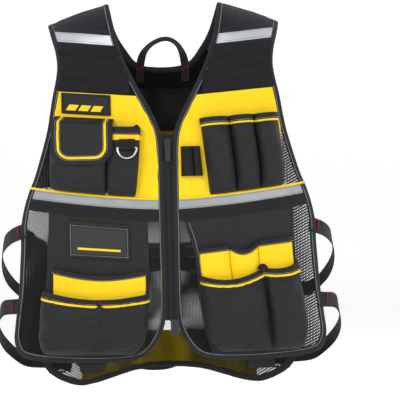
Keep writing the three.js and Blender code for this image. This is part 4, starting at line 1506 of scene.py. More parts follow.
class Trim:
    """Bindings, pipings and seams that follow a line on the body."""

    BINDING = np.array([
        (0, -0.5), (-0.6, 0.4), (-0.2, 1.6), (1.0, 2.2), (4.5, 2.35), (8.2, 2.25), (9.0, 1.8),
        (9.1, 1.1), (9.0, -0.4), (4.5, -0.8), (1.0, -0.8),
    ])

    @staticmethod
    def on_cloth(xz: Points, step: float = 3.0) -> Points:
        """A line as x and the way up the cloth, cut off at the shoulder seam.

        Args:
            xz: The line as x and z.
            step: The distance between two points.

        Returns:
            The line on the cloth.
        """
        flat = Body.flat(xz)
        kept = []
        for here, there in zip(flat[:-1], flat[1:]):
            if here[1] >= 0:
                kept.append(here)
            if (here[1] < 0) != (there[1] < 0):
                kept.append(here + (there - here) * here[1] / (here[1] - there[1]))
        if flat[-1][1] >= 0:
            kept.append(flat[-1])
        return Path.even(np.array(kept), step) * (1, -1)

    @classmethod
    def swept(
        cls, face: Face, xz: Points, section: Points, seed: int, wave: float = 0.35, turn: int = 1
    ) -> Shell:
        """A closed section along a line of the body.

        Args:
            face: The front or the back.
            xz: The line, with the cloth on its left.
            section: Its section, as distances in from the line and heights over the body.
            seed: The seed of its unevenness.
            wave: How uneven it is, in millimetres.
            turn: -1 where the cloth is on the line's right.

        Returns:
            The closed shell.
        """
        line = cls.on_cloth(xz)
        run = np.arange(len(line)) * 3.0
        rows, uvs = [], []
        for j, (across, lift) in enumerate(section):
            soft = wave * ripple(run, 0 * run + across * 0.7, 26, seed)
            moved = Path.moved(line, turn * (across + 0.5 * soft))
            rows.append(Body.place(face, moved * (1, -1), lift + soft))
            uvs.append(points_of(np.full(len(run), across + (20 if j > 7 else 0)), run))
        shell = Shell.grid(np.stack(rows, axis=1), np.stack(uvs, axis=1), closed_u=True)
        return shell.capped(len(line), len(section))

    @classmethod
    def at(cls, face: Face, xz: Points, across: float, lift: float, turn: int = 1) -> Points:
        """The line in space at a distance in from a line of the body."""
        return Body.place(face, Path.moved(cls.on_cloth(xz), turn * across) * (1, -1), lift)

    @staticmethod
    def tack(at: Points, along: Points, out: Points, long: float = 9.0, wide: float = 3.4) -> Points:
        """The zigzag thread of a bar tack.

        Args:
            at: Its middle.
            along: Its direction.
            out: The direction out of the cloth.
            long: Its length.
            wide: Its width.

        Returns:
            The thread's points.
        """
        along = np.asarray(along, float) / np.linalg.norm(along)
        out = np.asarray(out, float) / np.linalg.norm(out)
        across = np.cross(out, along)
        count = int(long / 0.75)
        places = np.linspace(-long / 2, long / 2, count)
        ways = np.where(np.arange(count) % 2, wide / 2, -wide / 2)
        return np.asarray(at, float) + places[:, None] * along + ways[:, None] * across


class Tacks:
    """Every bar tack of the vest, gathered into one piece."""

    lines: list[Points] = []

    @classmethod
    def add(
        cls, face: Face, xz: Sequence[float], lift: float, upright: bool = False, long: float = 9.0
    ) -> None:
        """Adds a bar tack at x and z.

        Args:
            face: The front or the back.
            xz: Its middle.
            lift: Its height over the body.
            upright: Whether it runs up and down.
            long: Its length.
        """
        x, z = xz
        step = (0, 1) if upright else (1, 0)
        spots = np.array([(x, z), (x + step[0], z + step[1])], float)
        low, high = Body.on(face, spots, lift), Body.on(face, spots, lift + 1)
        cls.lines.append(Trim.tack(low[0], low[1] - low[0], high[0] - low[0], long))

    @classmethod
    def make(cls) -> None:
        """Makes the piece."""
        Weaver.yarn("bar_tacks", cls.lines, 0.62, Finish.RED, 4)


@dataclass(frozen=True)
class Nets:
    """The knitted net of the fronts and the back."""

    pitch: float = 4.8
    yarn: float = 1.55
    flatness: float = 0.22
    inset: float = 3.0
    chest: Rows = ((0.66, 0.22), (1.2, 0.22), (1.2, 0.452), (0.66, 0.432))
    sides: tuple[Rows, Rows] = (
        ((0.7, 0.6), (0.9, 0.54), (1.2, 0.54), (1.2, 0.95), (0.7, 0.95)),
        ((0.7, 0.49), (1.2, 0.49), (1.2, 0.95), (0.7, 0.95)),
    )
    behind: float = 1.2

    def lines(
        self, face: Face, outlines: Sequence[Points], shift: float = 0.0, low_by: float = 0.0
    ) -> list[Points]:
        """The zigzag yarns inside every outline.

        Args:
            face: The front or the back.
            outlines: The outlines that hold the yarns.
            shift: How far the yarns are moved sideways.
            low_by: How far they lie under the surface.

        Returns:
            The yarns in space.
        """
        loops = [Cloth.flattened(outline) for outline in outlines]
        low, high = loops[0].min(axis=0), loops[0].max(axis=0)
        half = self.pitch / 2
        runs = np.arange(max(low[1], 0) + 0.5, high[1], half)
        lines = []
        for x in np.arange(math.floor(low[0] / self.pitch) * self.pitch, high[0] + half, self.pitch):
            for way in (half, -half):
                xs = x + shift + way * (np.arange(len(runs)) % 2) - math.copysign(0.25, way) * (
                    np.arange(len(runs)) % 2
                )
                points = points_of(xs, runs)
                within = np.all([Path.inside(loop, points) for loop in loops], axis=0)
                cuts = np.flatnonzero(np.diff(within.astype(int))) + 1
                for part, kept in zip(np.split(points, cuts), np.split(within, cuts)):
                    if kept[0] and len(part) > 1:
                        lift = 0.25 * ripple(part[:, 0], part[:, 1], 60, 3) - low_by
                        lines.append(Body.place(face, part, lift))
        return lines

    def make(self) -> None:
        """Makes the two fronts and the back."""
        for side in BOTH:
            outline = Cut.front_inside(side, self.inset)
            name = f"front_net_{side.word}"
            lines = self.lines(FRONT, [outline])
            net = Weaver.yarn(f"net_{side.word}", lines, self.yarn, Finish.NET, 3, [name], self.flatness)
            f"shoulder_cap_{side.word}"
            regions = [Path.sided(side, cut(rows)) for rows in (self.chest, self.sides[side is Side.LEFT])]
            doubled = sum((self.lines(FRONT, [outline, r], self.pitch / 4, self.behind) for r in regions), [])
            Weaver.yarn(f"side_net_{side.word}", doubled, self.yarn, Finish.NET, 3, (), self.flatness)
        lines = self.lines(BACK, [Cut.back_inside(self.inset)])
        net = Weaver.yarn("net_back", lines, self.yarn, Finish.NET, 3, ["back_net"], self.flatness)


@dataclass(frozen=True)
class Bindings:
    """The folded tapes that bind every edge, with their seams."""

    def make(self) -> None:
        """Makes the bindings of the fronts, the neck and the back."""
        seams: list[Points] = []
        front = Cut.front()
        for side in BOTH:
            path = front * (side.value, 1)
            turn = side.value
            shell = Trim.swept(FRONT, path, Trim.BINDING, 11 + side.value, turn=turn)
            dress(shell, f"binding_{side.word}", Finish.BINDING, [f"front_binding_{side.word}"])
            seams.append(Trim.at(FRONT, path, 7.2, 2.75, turn))
        for name, line in (("neck", Cut.neck()), ("back", Cut.back())):
            shell = Trim.swept(BACK, line, Trim.BINDING, 14)
            dress(shell, f"binding_{name}", Finish.BINDING, [f"{name}_binding"])
            seams.append(Trim.at(BACK, line, 7.2, 2.75))
        Weaver.seam("binding_seams", seams, Finish.THREAD)


@dataclass(frozen=True)
class Chest:
    """The yellow chest panels with the tape and the webbing below them."""

    far: float = 0.712
    tape: float = 15.0
    webbing: float = 20.0
    gap: float = 0.3

    def make(self) -> None:
        """Makes both sides."""
        tape_foot = lines_from(Cut.belt, self.tape)
        webbing_top = lines_from(Cut.belt, self.tape + self.gap)
        foot = lines_from(Cut.belt, self.tape + self.webbing)
        seams: list[Points] = []
        for side in BOTH:
            under = Cut.front_inside(side, Cut.UNDER)
            whole = Cut.front_inside(side, 8.8)
            yellow = Cut.shoulder(0.2077, 0.194)
            far = self.far * Body.HEM_HALF
            piping = lines_from(Cut.belt, -4.0)
            panel = Path.band(yellow, lines_from(foot, -8), 0.0, far)
            shell = Cloth.cut(
                FRONT, [Path.sided(side, panel), under], 0.75, 0.9, 5.0, shape=Cloth.folds(31, 0.35)
            )
            piece = dress(shell, f"chest_{side.word}", Finish.YELLOW, [f"chest_panel_{side.word}"])
            f"net_{side.word}"
            band = Path.sided(side, Path.band(Cut.belt, tape_foot, 0.0, 250.0))
            shell = Cloth.cut(FRONT, [band, whole], 1.9, 0.8, 4.0, shape=Cloth.folds(41, 0.4))
            dress(shell, f"chest_silver_{side.word}", Finish.GREY, [f"chest_tape_{side.word}"])
            band = Path.sided(side, Path.band(webbing_top, foot, 0.0, 250.0))
            shell = Cloth.cut(FRONT, [band, whole], 1.9, 1.2, 4.0, shape=Cloth.folds(41, 0.3))
            dress(shell, f"waist_{side.word}", Finish.WEBBING, [f"waist_webbing_{side.word}"])
            xs = np.linspace(19.0, 226.0, 90) * side.value
            cord = Body.on(FRONT, points_of(xs, piping(xs) - 1.9), 2.6)
            hint = Body.on(FRONT, points_of(xs, piping(xs)), 9) - cord
            shell = Tubes.along(cord, hint, Tubes.ring(1.9, 8, 0.75))
            dress(shell, f"chest_piping_{side.word}", Finish.YELLOW)
            for drop, lift in ((1.6, 3.4), (13.4, 3.4), (17.5, 3.9), (33.2, 3.9)):
                xs = np.linspace(20.0, 222.0, 120) * side.value
                seams.append(Body.on(FRONT, points_of(xs, Cut.belt(xs) - drop), lift))
        Weaver.seam("chest_seams", seams, Finish.DARK_THREAD, 2.8, (1.0, 0.32, 0.3))


@dataclass(frozen=True)
class Swelling:
    """Padding that is blown up by cloth simulation, and stays where it is sewn."""

    frames: int = 20
    pressure: float = 4.0
    cap: float = 3.0

    def run(self, obj: Object, sewn: Sequence[int]) -> None:
        """Swells a closed mesh between its sewn lines.

        Args:
            obj: The pad.
            sewn: The points that don't move.
        """
        rest = np.array([tuple(v.co) for v in obj.data.vertices])
        group = obj.vertex_groups.new(name="sewn")
        group.add([int(i) for i in sewn], 1.0, "REPLACE")
        modifier = obj.modifiers.new("swelling", "CLOTH")
        settings = modifier.settings
        settings.quality = 6
        settings.mass = 0.25
        settings.use_pressure = True
        settings.uniform_pressure_force = self.pressure
        settings.vertex_group_mass = group.name
        settings.effector_weights.gravity = 0.0
        modifier.collision_settings.use_collision = False
        modifier.point_cache.frame_start, modifier.point_cache.frame_end = 1, self.frames
        for frame_number in range(1, self.frames + 1):
            bpy.context.scene.frame_set(frame_number)
        Workshop.baked(obj)
        bpy.context.scene.frame_set(1)
        obj.vertex_groups.clear()
        moved = np.array([tuple(v.co) for v in obj.data.vertices]) - rest
        length = np.maximum(np.linalg.norm(moved, axis=1, keepdims=True), 1e-9)
        kept = rest + moved * np.minimum(1.0, self.cap * MM / length)
        obj.data.vertices.foreach_set("co", kept.ravel())
        obj.data.update()
        LOG.info("%s swelled by up to %.1f mm", obj.name, length.max() / MM)


@dataclass(frozen=True)
class Shoulders:
    """The loop-cloth caps, the silver tapes and the ribbed pads."""

    tape: tuple[float, ...] = (0.0581, 0.0419)
    pad: tuple[float, ...] = (0.0825, 0.0667)
    foot: tuple[float, ...] = (0.2077, 0.194)
    rib_count: int = 4
    high: float = 4.2
    square: float = 2.6

    def ribs(self, x: np.ndarray, run: np.ndarray) -> np.ndarray:
        """The height of the pad over its backing.

        Args:
            x: Across, in millimetres.
            run: The length of cloth below the shoulder seam.

        Returns:
            The heights.
        """
        z = Body.height(x, run)
        top, foot = Cut.shoulder(*self.pad)(x), Cut.shoulder(*self.foot)(x)
        place = np.clip((top - z) / (top - foot), 0, 1) * self.rib_count
        share = np.abs(2 * (place % 1) - 1)
        arch = np.maximum(1 - share**self.square, 0) ** 0.62
        return self.high * arch * (1 + 0.12 * ripple(x, run, 24, 71)) + 0.2 * ripple(x, run, 9, 72)

    def make(self) -> None:
        """Makes both sides."""
        seams: list[Points] = []
        for side in BOTH:
            inside = Cut.front_inside(side, Cut.UNDER)
            whole = Cut.front_inside(side, 8.8)
            tape, pad, foot = (Cut.shoulder(*line) for line in (self.tape, self.pad, self.foot))

            def region(top: Line, low: Line) -> Points:
                """The part of the shoulder between two lines."""
                return Path.sided(side, Path.band(top, low, 60.0, 230.0))

            above = region(lambda x: 0 * x + 70.0, lines_from(tape, -0.2))
            shell = Cloth.cut(FRONT, [above, inside], 0.75, 1.1, 5.0, shape=Cloth.folds(51, 0.4))
            dress(shell, f"cap_{side.word}", Finish.LOOP, [f"shoulder_cap_{side.word}"])
            shell = Cloth.cut(FRONT, [region(tape, pad), whole], 1.7, 0.9, 3.5, shape=Cloth.folds(53, 0.3))
            dress(shell, f"shoulder_silver_{side.word}", Finish.SILVER, [f"shoulder_tape_{side.word}"])
            strip = region(lines_from(tape, -9.5), tape)
            strip = Cloth.cut(FRONT, [strip, whole], 1.5, 1.1, 3.5, shape=Cloth.folds(54, 0.3))
            dress(strip, f"shoulder_strip_{side.word}", Finish.CANVAS)
            shell = Cloth.cut(
                FRONT, [region(lines_from(pad, 0.2), foot), inside], 0.75, 1.0, 3.2,
                shape=self.ribs, filled=True,
            )
            piece = dress(shell, f"pad_{side.word}", Finish.AIR_MESH, [f"shoulder_pad_{side.word}"], sharp=75)
            x, run = shell.uvs[:, 0], -shell.uvs[:, 1]
            free = self.ribs(x, run) > 0.35 * self.high
            free[len(free) // 2:] = False
            Swelling().run(piece, np.flatnonzero(~free))
            for drop in (1.5, 13.3):
                xs = np.linspace(100.0, 176.0, 40) * side.value
                seams.append(Body.on(FRONT, points_of(xs, tape(xs) - drop), 3.0))
        Weaver.seam("shoulder_seams", seams, Finish.DARK_THREAD, 2.8, (1.0, 0.32, 0.3))


@dataclass(frozen=True)
class PocketCut:
    """The cut of one pocket.

    Attributes:
        side: The wearer's side.
        top: The line of its top edge.
        foot: The line of its foot.
        rows: How far down (0 to 1), the edge by the zip, the edge by the side and its plumpness.
        depth: How far it stands off the body.
        base: The height of its backing.
        rounding: How boxy its section is.
        seams: Where it is sewn down, as shares across.
        dips: How its top edge sags: from, to and how deep.
        fold: A pleat's middle, half width and depth.
        held: How far off its backing an inner seam stays.
        seed: The seed of its creases.
        folds: The height of its creases.
    """

    side: Side
    top: Line
    foot: Line
    rows: tuple[tuple[float, float, float, float], ...]
    depth: float
    base: float = 3.0
    rounding: float = 5.0
    seams: tuple[float, ...] = (0.0, 1.0)
    dips: tuple[tuple[float, float, float], ...] = ()
    fold: tuple[float, float, float] | None = None
    held: float = 0.0
    seed: int = 1
    folds: float = 1.1


@dataclass
class Pocket:
    """A hollow pocket with an open top, and what is sewn on it."""

    cut: PocketCut
    wall: float = 1.1
    side_share: float = 0.3
    sunk: float = 4.0

    def __post_init__(self) -> None:
        """Makes smooth curves of the cut's rows."""
        rows = np.array(self.cut.rows)
        even = Path.smooth(points_of(rows[:, 0] * 2, rows[:, 1:]), 0.02)
        self.curves = [even[:, 0] / 2, even[:, 1], even[:, 2], np.clip(even[:, 3], 0, None)]

    def columns(self, parts: int = 22) -> np.ndarray:
        """Places across, closer together by the seams.

        Args:
            parts: How many steps each lobe has.

        Returns:
            The places, as shares across.
        """
        turn = (1 - np.cos(np.linspace(0, math.pi, parts + 1))) / 2
        places = [
            start + (stop - start) * turn[(1 if i else 0):]
            for i, (start, stop) in enumerate(zip(self.cut.seams, self.cut.seams[1:]))
        ]
        return np.concatenate(places)

    def lift(self, a: np.ndarray, b: np.ndarray) -> np.ndarray:
        """The height of its outer face over its backing.

        Args:
            a: The share across.
            b: The share down.

        Returns:
            The heights.
        """
        spec = self.cut
        seams = np.array(spec.seams)
        lobe = np.clip(np.searchsorted(seams, a, side="left"), 1, len(seams) - 1)
        start, stop = seams[lobe - 1], seams[lobe]
        share = np.clip((a - start) / (stop - start), 0, 1)
        arch = (1 - np.abs(2 * share - 1) ** spec.rounding) ** (1 / spec.rounding)
        plump = np.interp(b, self.curves[0], self.curves[3])
        high = spec.depth * plump * arch
        if spec.fold:
            middle, wide, deep = spec.fold
            high = high - deep * plump * np.exp(-(((a - middle) / (wide * 0.5)) ** 4))
        inner = np.where(share < 0.5, lobe > 1, lobe < len(seams) - 1)
        held = np.where(inner, spec.held * np.minimum(2 * plump, 1), 0)
        x, z = 300 * a, 300 * b
        soft = spec.folds * (0.7 * ripple(x, z, 60, spec.seed) + 0.8 * crease(x, z, 52, spec.seed + 9))
        return np.maximum(np.maximum(high + soft * plump * arch, held), self.wall * 0.9)

    def flat(self, a: np.ndarray, b: np.ndarray, border: float = 0.0) -> Points:
        """Places on the body's cloth, at shares across and down.

        Args:
            a: The share across.
            b: The share down.
            border: How far the outline is moved out.

        Returns:
            The places.
        """
        spec = self.cut
        near = np.interp(b, self.curves[0], self.curves[1]) * Body.HEM_HALF
        far = np.interp(b, self.curves[0], self.curves[2]) * Body.HEM_HALF
        draw = np.maximum(1 - a / self.side_share, 0) - np.maximum(1 - (1 - a) / self.side_share, 0)
        x = near + (far - near) * a + border * draw
        top = spec.top(x)
        for start, stop, deep in spec.dips:
            share = np.clip((a - start) / (stop - start), 0, 1)
            top = top - deep * np.sin(math.pi * share)
        z = top + (spec.foot(x) + border - top) * b
        return Body.flat(points_of((x * spec.side.value).ravel(), z.ravel()))

    def layer(self, a: np.ndarray, b: np.ndarray, out: float, sunk: bool = True) -> tuple[Points, Points]:
        """A grid of points at a height over the outer face, and their places on the cloth.

        Args:
            a: The share across.
            b: The share down.
            out: The height over the outer face.
            sunk: Whether its edge is sunk into the backing.

        Returns:
            The points and their places.
        """
        flat = self.flat(a, b, -out)
        lift = self.cut.base + self.lift(a, b) + out
        if sunk:
            edge = (a <= 0) | (a >= 1) | (b >= 1)
            lift = np.where(edge, self.cut.base - self.sunk, lift)
        points = Body.place(FRONT, flat, lift.ravel()).reshape(*a.shape, 3)
        return points, (flat * (1, -1)).reshape(*a.shape, 2)

    def skin(self, out: float, thick: float, start: float, stop: float, count: int = 44) -> Shell:
        """A closed wall of the pocket between two shares of its height.

        Args:
            out: The height over the outer face.
            thick: Its thickness.
            start: The share down at its top.
            stop: The share down at its foot.
            count: How many rows it has.

        Returns:
            The closed shell.
        """
        down = np.linspace(start, stop, count)
        if stop >= 1:
            down = start + (stop - start) * np.sin(np.linspace(0, math.pi / 2, count))
        a, b = np.meshgrid(self.columns(), down)
        outer, uvs = self.layer(a, b, out)
        inner, _ = self.layer(a, b, out - thick)
        return Shell.slab(outer, inner, uvs)

    def bag(self, name: str, finish: Finish, replaces: Sequence[str]) -> Object:
        """The pocket itself."""
        return dress(self.skin(0, self.wall, 0, 1), name, finish, replaces, sharp=70)

    def share(self, drop: float) -> float:
        """A length below the top edge, as a share of the height."""
        middle = np.array([(self.cut.rows[0][1] + self.cut.rows[0][2]) / 2 * Body.HEM_HALF])
        return float(drop / (self.cut.top(middle) - self.cut.foot(middle))[0])

    def band(
        self, name: str, finish: Finish, high: float, replaces: Sequence[str] = (), start: float = 0.0
    ) -> None:
        """A tape folded over the top edge, or sewn below it from a given height.

        Args:
            name: The piece's name.
            finish: Its finish.
            high: Its height.
            replaces: The frame's nodes that it stands for.
            start: How far below the top edge it starts, 0 to fold it over.
        """
        if start:
            shell = self.skin(0.9, 0.8, self.share(start), self.share(start + high), 5)
        else:
            shell = self.skin(1.2, 3.4, -self.share(0.8), self.share(high), 8)
        dress(shell, name, finish, replaces, sharp=60)

    def line(self, b: float, out: float, count: int = 90, start: float = 0.0, stop: float = 1.0) -> Points:
        """A line across the pocket over its outer face.

        Args:
            b: The share down.
            out: The height over the outer face.
            count: How many points it has.
            start: Where it starts.
            stop: Where it stops.

        Returns:
            The line.
        """
        a = np.linspace(start, stop, count)[None, :]
        points, _ = self.layer(a, np.full_like(a, b), out, sunk=False)
        return points[0]

    def upright(self, a: float, out: float, start: float = 0.0, stop: float = 1.0) -> Points:
        """A line down the pocket over its outer face.

        Args:
            a: The share across.
            out: The height over the outer face.
            start: Where it starts.
            stop: Where it stops.

        Returns:
            The line.
        """
        b = np.linspace(start, stop, 60)[None, :]
        points, _ = self.layer(np.full_like(b, a), b, out, sunk=False)
        return points[0]

    def piping(self, name: str, drop: float, radius: float = 1.7) -> None:
        """A yellow piping across the pocket.

        Args:
            name: The piece's name.
            drop: How far below the top edge it lies.
            radius: Its radius.
        """
        low = self.line(self.share(drop), 0.6)
        hint = self.line(self.share(drop), 3.0) - low
        dress(Tubes.along(low, hint, Tubes.ring(radius, 8, 0.8)), name, Finish.YELLOW)

    def tack(self, a: float, drop: float, upright: bool = False, long: float = 9.0) -> None:
        """A bar tack on the pocket.

        Args:
            a: The share across.
            drop: How far below the top edge it lies.
            upright: Whether it runs up and down.
            long: Its length.
        """
        b = self.share(drop)
        low = self.line(b, 1.7, 3, a - 0.01, a + 0.01)
        high = self.line(b, 3.0, 3, a - 0.01, a + 0.01)
        out = high[1] - low[1]
        along = low[2] - low[0]
        if upright:
            along = np.cross(out, along)
        Tacks.lines.append(Trim.tack(low[1], along, out, long))

    def loop(self, name: str, a: float, wide: float, high: float) -> None:
        """A small folded tab of webbing that stands above the opening.

        Args:
            name: The piece's name.
            a: The share across.
            wide: Its width.
            high: Its height.
        """
        at = self.line(0.0, 1.0, 101)[round(100 * a)]
        share, turn = np.meshgrid(np.linspace(0.05, 1, 5), np.linspace(0, math.pi, 16))
        flat = np.stack([share * np.cos(turn) * wide / 2, 0 * turn, share * np.sin(turn) * high], axis=-1)
        shell = Shell.slab(at + flat - (0, 1.2, 1.0), at + flat + (0, 0.8, -1.0), flat[..., ::2])
        dress(shell, name, Finish.WEBBING)


@dataclass(frozen=True)
class Pockets:
    """All the pockets of the fronts."""

    def cuts(self) -> dict[str, PocketCut]:
        """The cut of every pocket.

        Returns:
            The cuts by name.
        """
        on_piping = lambda x: Cut.belt(x) + 4.3
        return {
            "flap": PocketCut(
                Side.RIGHT, Cut.slant(0.304, 0.292, 0.371, 0.72), on_piping,
                ((0, 0.372, 0.695, 0.8), (0.35, 0.372, 0.703, 0.95), (0.75, 0.376, 0.712, 1),
                 (0.93, 0.38, 0.712, 0.75), (1, 0.39, 0.704, 0)), 26.0, seed=3, folds=2.0,
            ),
            "pen": PocketCut(
                Side.RIGHT, Cut.slant(0.295, 0.293, 0.167, 0.36), on_piping,
                ((0, 0.168, 0.37, 1), (0.3, 0.172, 0.372, 1), (0.65, 0.186, 0.374, 1),
                 (0.92, 0.199, 0.376, 0.8), (1, 0.21, 0.372, 0)), 20.0, seed=5, folds=1.6,
            ),
            "tubes": PocketCut(
                Side.LEFT, Cut.slant(0.2745, 0.262, 0.205, 0.7), on_piping,
                ((0, 0.205, 0.68, 0.72), (0.3, 0.22, 0.694, 0.95), (0.7, 0.242, 0.712, 1),
                 (0.93, 0.253, 0.714, 0.7), (1, 0.262, 0.71, 0)), 25.0, rounding=2.2,
                seams=(0, 0.365, 0.685, 1), seed=7, folds=2.0,
            ),
            "window": PocketCut(
                Side.RIGHT, Cut.slant(0.54, 0.524, 0.242, 0.625), Cut.slant(0.628, 0.617, 0.242, 0.625),
                ((0, 0.242, 0.625, 1), (0.5, 0.242, 0.625, 1), (1, 0.242, 0.625, 0.9)), 3.5,
                seed=9, folds=0.4,
            ),
            "rear_right": PocketCut(
                Side.RIGHT, Cut.slant(0.656, 0.645, 0.139, 0.735), lines_from(Cut.hem, -8),
                ((0, 0.152, 0.72, 1), (0.25, 0.152, 0.722, 1), (0.9, 0.2, 0.74, 0.9),
                 (1, 0.23, 0.73, 0)), 8.0, dips=((0, 1, 11),), seed=11, folds=0.9,
            ),
            "pleat": PocketCut(
                Side.RIGHT, Cut.slant(0.715, 0.704, 0.133, 0.776), Cut.hem,
                ((0, 0.136, 0.774, 0.75), (0.2, 0.138, 0.785, 0.92), (0.55, 0.15, 0.798, 1),
                 (0.8, 0.172, 0.8, 0.95), (0.94, 0.215, 0.785, 0.7), (1, 0.26, 0.76, 0)), 30.0,
                dips=((0, 1, 11),), fold=(0.45, 0.075, 6), seed=13, folds=3.2,
            ),
            "rear_left": PocketCut(
                Side.LEFT, Cut.slant(0.605, 0.578, 0.17, 0.77), lines_from(Cut.hem, -8),
                ((0, 0.183, 0.758, 1), (0.2, 0.19, 0.766, 1), (0.9, 0.27, 0.815, 0.9),
                 (1, 0.3, 0.8, 0)), 9.0, rounding=3.0, seams=(0, 0.32, 0.63, 1),
                dips=((0.32, 0.63, 11),), seed=15, folds=0.8,
            ),
            "twin": PocketCut(
                Side.LEFT, Cut.slant(0.674, 0.645, 0.189, 0.78), Cut.hem,
                ((0, 0.189, 0.782, 0.72), (0.2, 0.195, 0.797, 0.92), (0.55, 0.213, 0.818, 1),
                 (0.8, 0.238, 0.826, 0.95), (0.94, 0.275, 0.815, 0.7), (1, 0.315, 0.79, 0)), 30.0,
                rounding=3.2, seams=(0, 0.64, 1), dips=((0, 0.64, 11), (0.64, 1, 5)), held=11.1,
                seed=17, folds=3.2,
            ),
            "tools": PocketCut(
                Side.LEFT, lambda x: 0 * x - 0.342 * Body.LENGTH, lambda x: 0 * x - 0.418 * Body.LENGTH,
                ((0, 0.082, 0.2, 1), (1, 0.082, 0.216, 1)), 8.0, rounding=2.6, seams=(0, 0.6, 1),
                seed=19, folds=0.3,
            ),
        }

    def make(self) -> None:
        """Makes the pockets with their bands, pipings and seams."""
        made = {name: Pocket(cut_) for name, cut_ in self.cuts().items()}
        seams: list[Points] = []
        dark: list[Points] = []

        made["flap"].bag("flap_bag", Finish.CANVAS, ["flap_pocket"])
        Flap(made["flap"]).make(seams)

        pen = made["pen"]
        pen.bag("pen_bag", Finish.CANVAS, ["pen_pocket"])
        pen.band("pen_band", Finish.BINDING, 12.0, ["pen_pocket_band"])
        pen.band("pen_yellow", Finish.YELLOW, 6.5, start=12.2)
        seams.append(pen.line(pen.share(10.3), 1.6))
        pen.tack(0.41, 10.6, long=24)
        pen.loop("pen_loop", 0.1, 9, 5)
        dark += [pen.upright(a, 0.4, 0.1, 0.95) for a in (0.07, 0.93)]

        tubes = made["tubes"]
        tubes.bag("tube_bags", Finish.CANVAS, ["tube_pockets"])
        tubes.band("tube_band", Finish.BINDING, 9.5, ["tube_pocket_band"])
        tubes.piping("tube_piping", 11.6)
        seams.append(tubes.line(tubes.share(7.8), 1.6))
        for seam in (0.365, 0.685):
            tubes.tack(seam, 6.0, upright=True, long=12)
            dark.append(tubes.upright(seam, 0.7, 0.12, 0.97))

        tools = made["tools"]
        shell = tools.skin(0, 1.6, 0, 0.999)
        dress(shell, "tool_loops", Finish.WEBBING, ["tool_webbing"], sharp=70)
        dark += [tools.upright(a, 0.3, 0.04, 0.96) for a in (0.06, 0.6, 0.94)]

        window = made["window"]
        window.bag("window_frame", Finish.CANVAS, ["window_pocket"])
        self.window(window, seams)

        self.tiers(made["rear_right"], made["pleat"], "right", seams, dark)
        self.tiers(made["rear_left"], made["twin"], "left", seams, dark)
        pleat, twin = made["pleat"], made["twin"]
        dark += [pleat.upright(a, 0.5, 0.1, 0.9) for a in (0.405, 0.495)]
        pleat.tack(0.45, 7, upright=True, long=15)
        dark.append(twin.upright(0.64, 0.6, 0.08, 0.97))
        for a, drop in ((0.64, 6), (0.985, 8), (0.02, 8)):
            twin.tack(a, drop, upright=True, long=12)
        twin.loop("twin_loop", 0.63, 17, 9)
        for a in (0.32, 0.63):
            made["rear_left"].tack(a, 5, upright=True, long=11)
        Weaver.seam("pocket_seams", seams, Finish.THREAD, 3.2, (1.1, 0.36, 0.32))
        Weaver.seam("pocket_dark_seams", dark, Finish.DARK_THREAD, 3.0, (1.05, 0.32, 0.3))

    def tiers(self, rear: Pocket, front: Pocket, word: str, seams: list[Points], dark: list[Points]) -> None:
        """A yellow pocket behind a black one.

        Args:
            rear: The yellow pocket.
            front: The black pocket.
            word: The wearer's side.
            seams: The seams so far.
            dark: The dark seams so far.
        """
        names = {
            "right": ("yellow_pocket_right", "pleat_pocket"), "left": ("yellow_pockets_left", "twin_pocket")
        }[word]
        rear.bag(f"rear_bag_{word}", Finish.YELLOW, [names[0]])
        rear.band(f"rear_band_{word}", Finish.BINDING, 8.0)
        seams.append(rear.line(rear.share(6.4), 1.6))
        front.bag(f"lower_bag_{word}", Finish.CANVAS, [names[1]])
        front.band(f"lower_band_{word}", Finish.BINDING, 9.0, [f"{names[1]}_band"])
        front.piping(f"lower_piping_{word}", 11.4, 2.0)
        seams.append(front.line(front.share(7.4), 1.6))
        dark.append(front.line(front.share(15.5), 0.3))

    @staticmethod
    def window(pocket: Pocket, seams: list[Points]) -> None:
        """The clear film in the window pocket, with a ruled yellow line.

        Args:
            pocket: The window pocket.
            seams: The seams so far.
        """
        a, b = np.meshgrid(np.linspace(0.07, 0.93, 30), np.linspace(0.16, 0.88, 12))
        outer, uvs = pocket.layer(a, b, 0.55, sunk=False)
        inner, _ = pocket.layer(a, b, 0.1, sunk=False)
        dress(Shell.slab(outer, inner, uvs), "window_film", Finish.FILM)
        a, b = np.meshgrid(np.linspace(0.16, 0.84, 30), np.linspace(0.71, 0.765, 3))
        outer, uvs = pocket.layer(a, b, 0.85, sunk=False)
        inner, _ = pocket.layer(a, b, 0.45, sunk=False)
        dress(Shell.slab(outer, inner, uvs), "window_rules", Finish.YELLOW)
        seams += [pocket.line(b, 0.5, 60, 0.05, 0.95) for b in (0.12, 0.92)]
        seams += [pocket.upright(a, 0.5, 0.12, 0.92) for a in (0.05, 0.95)]


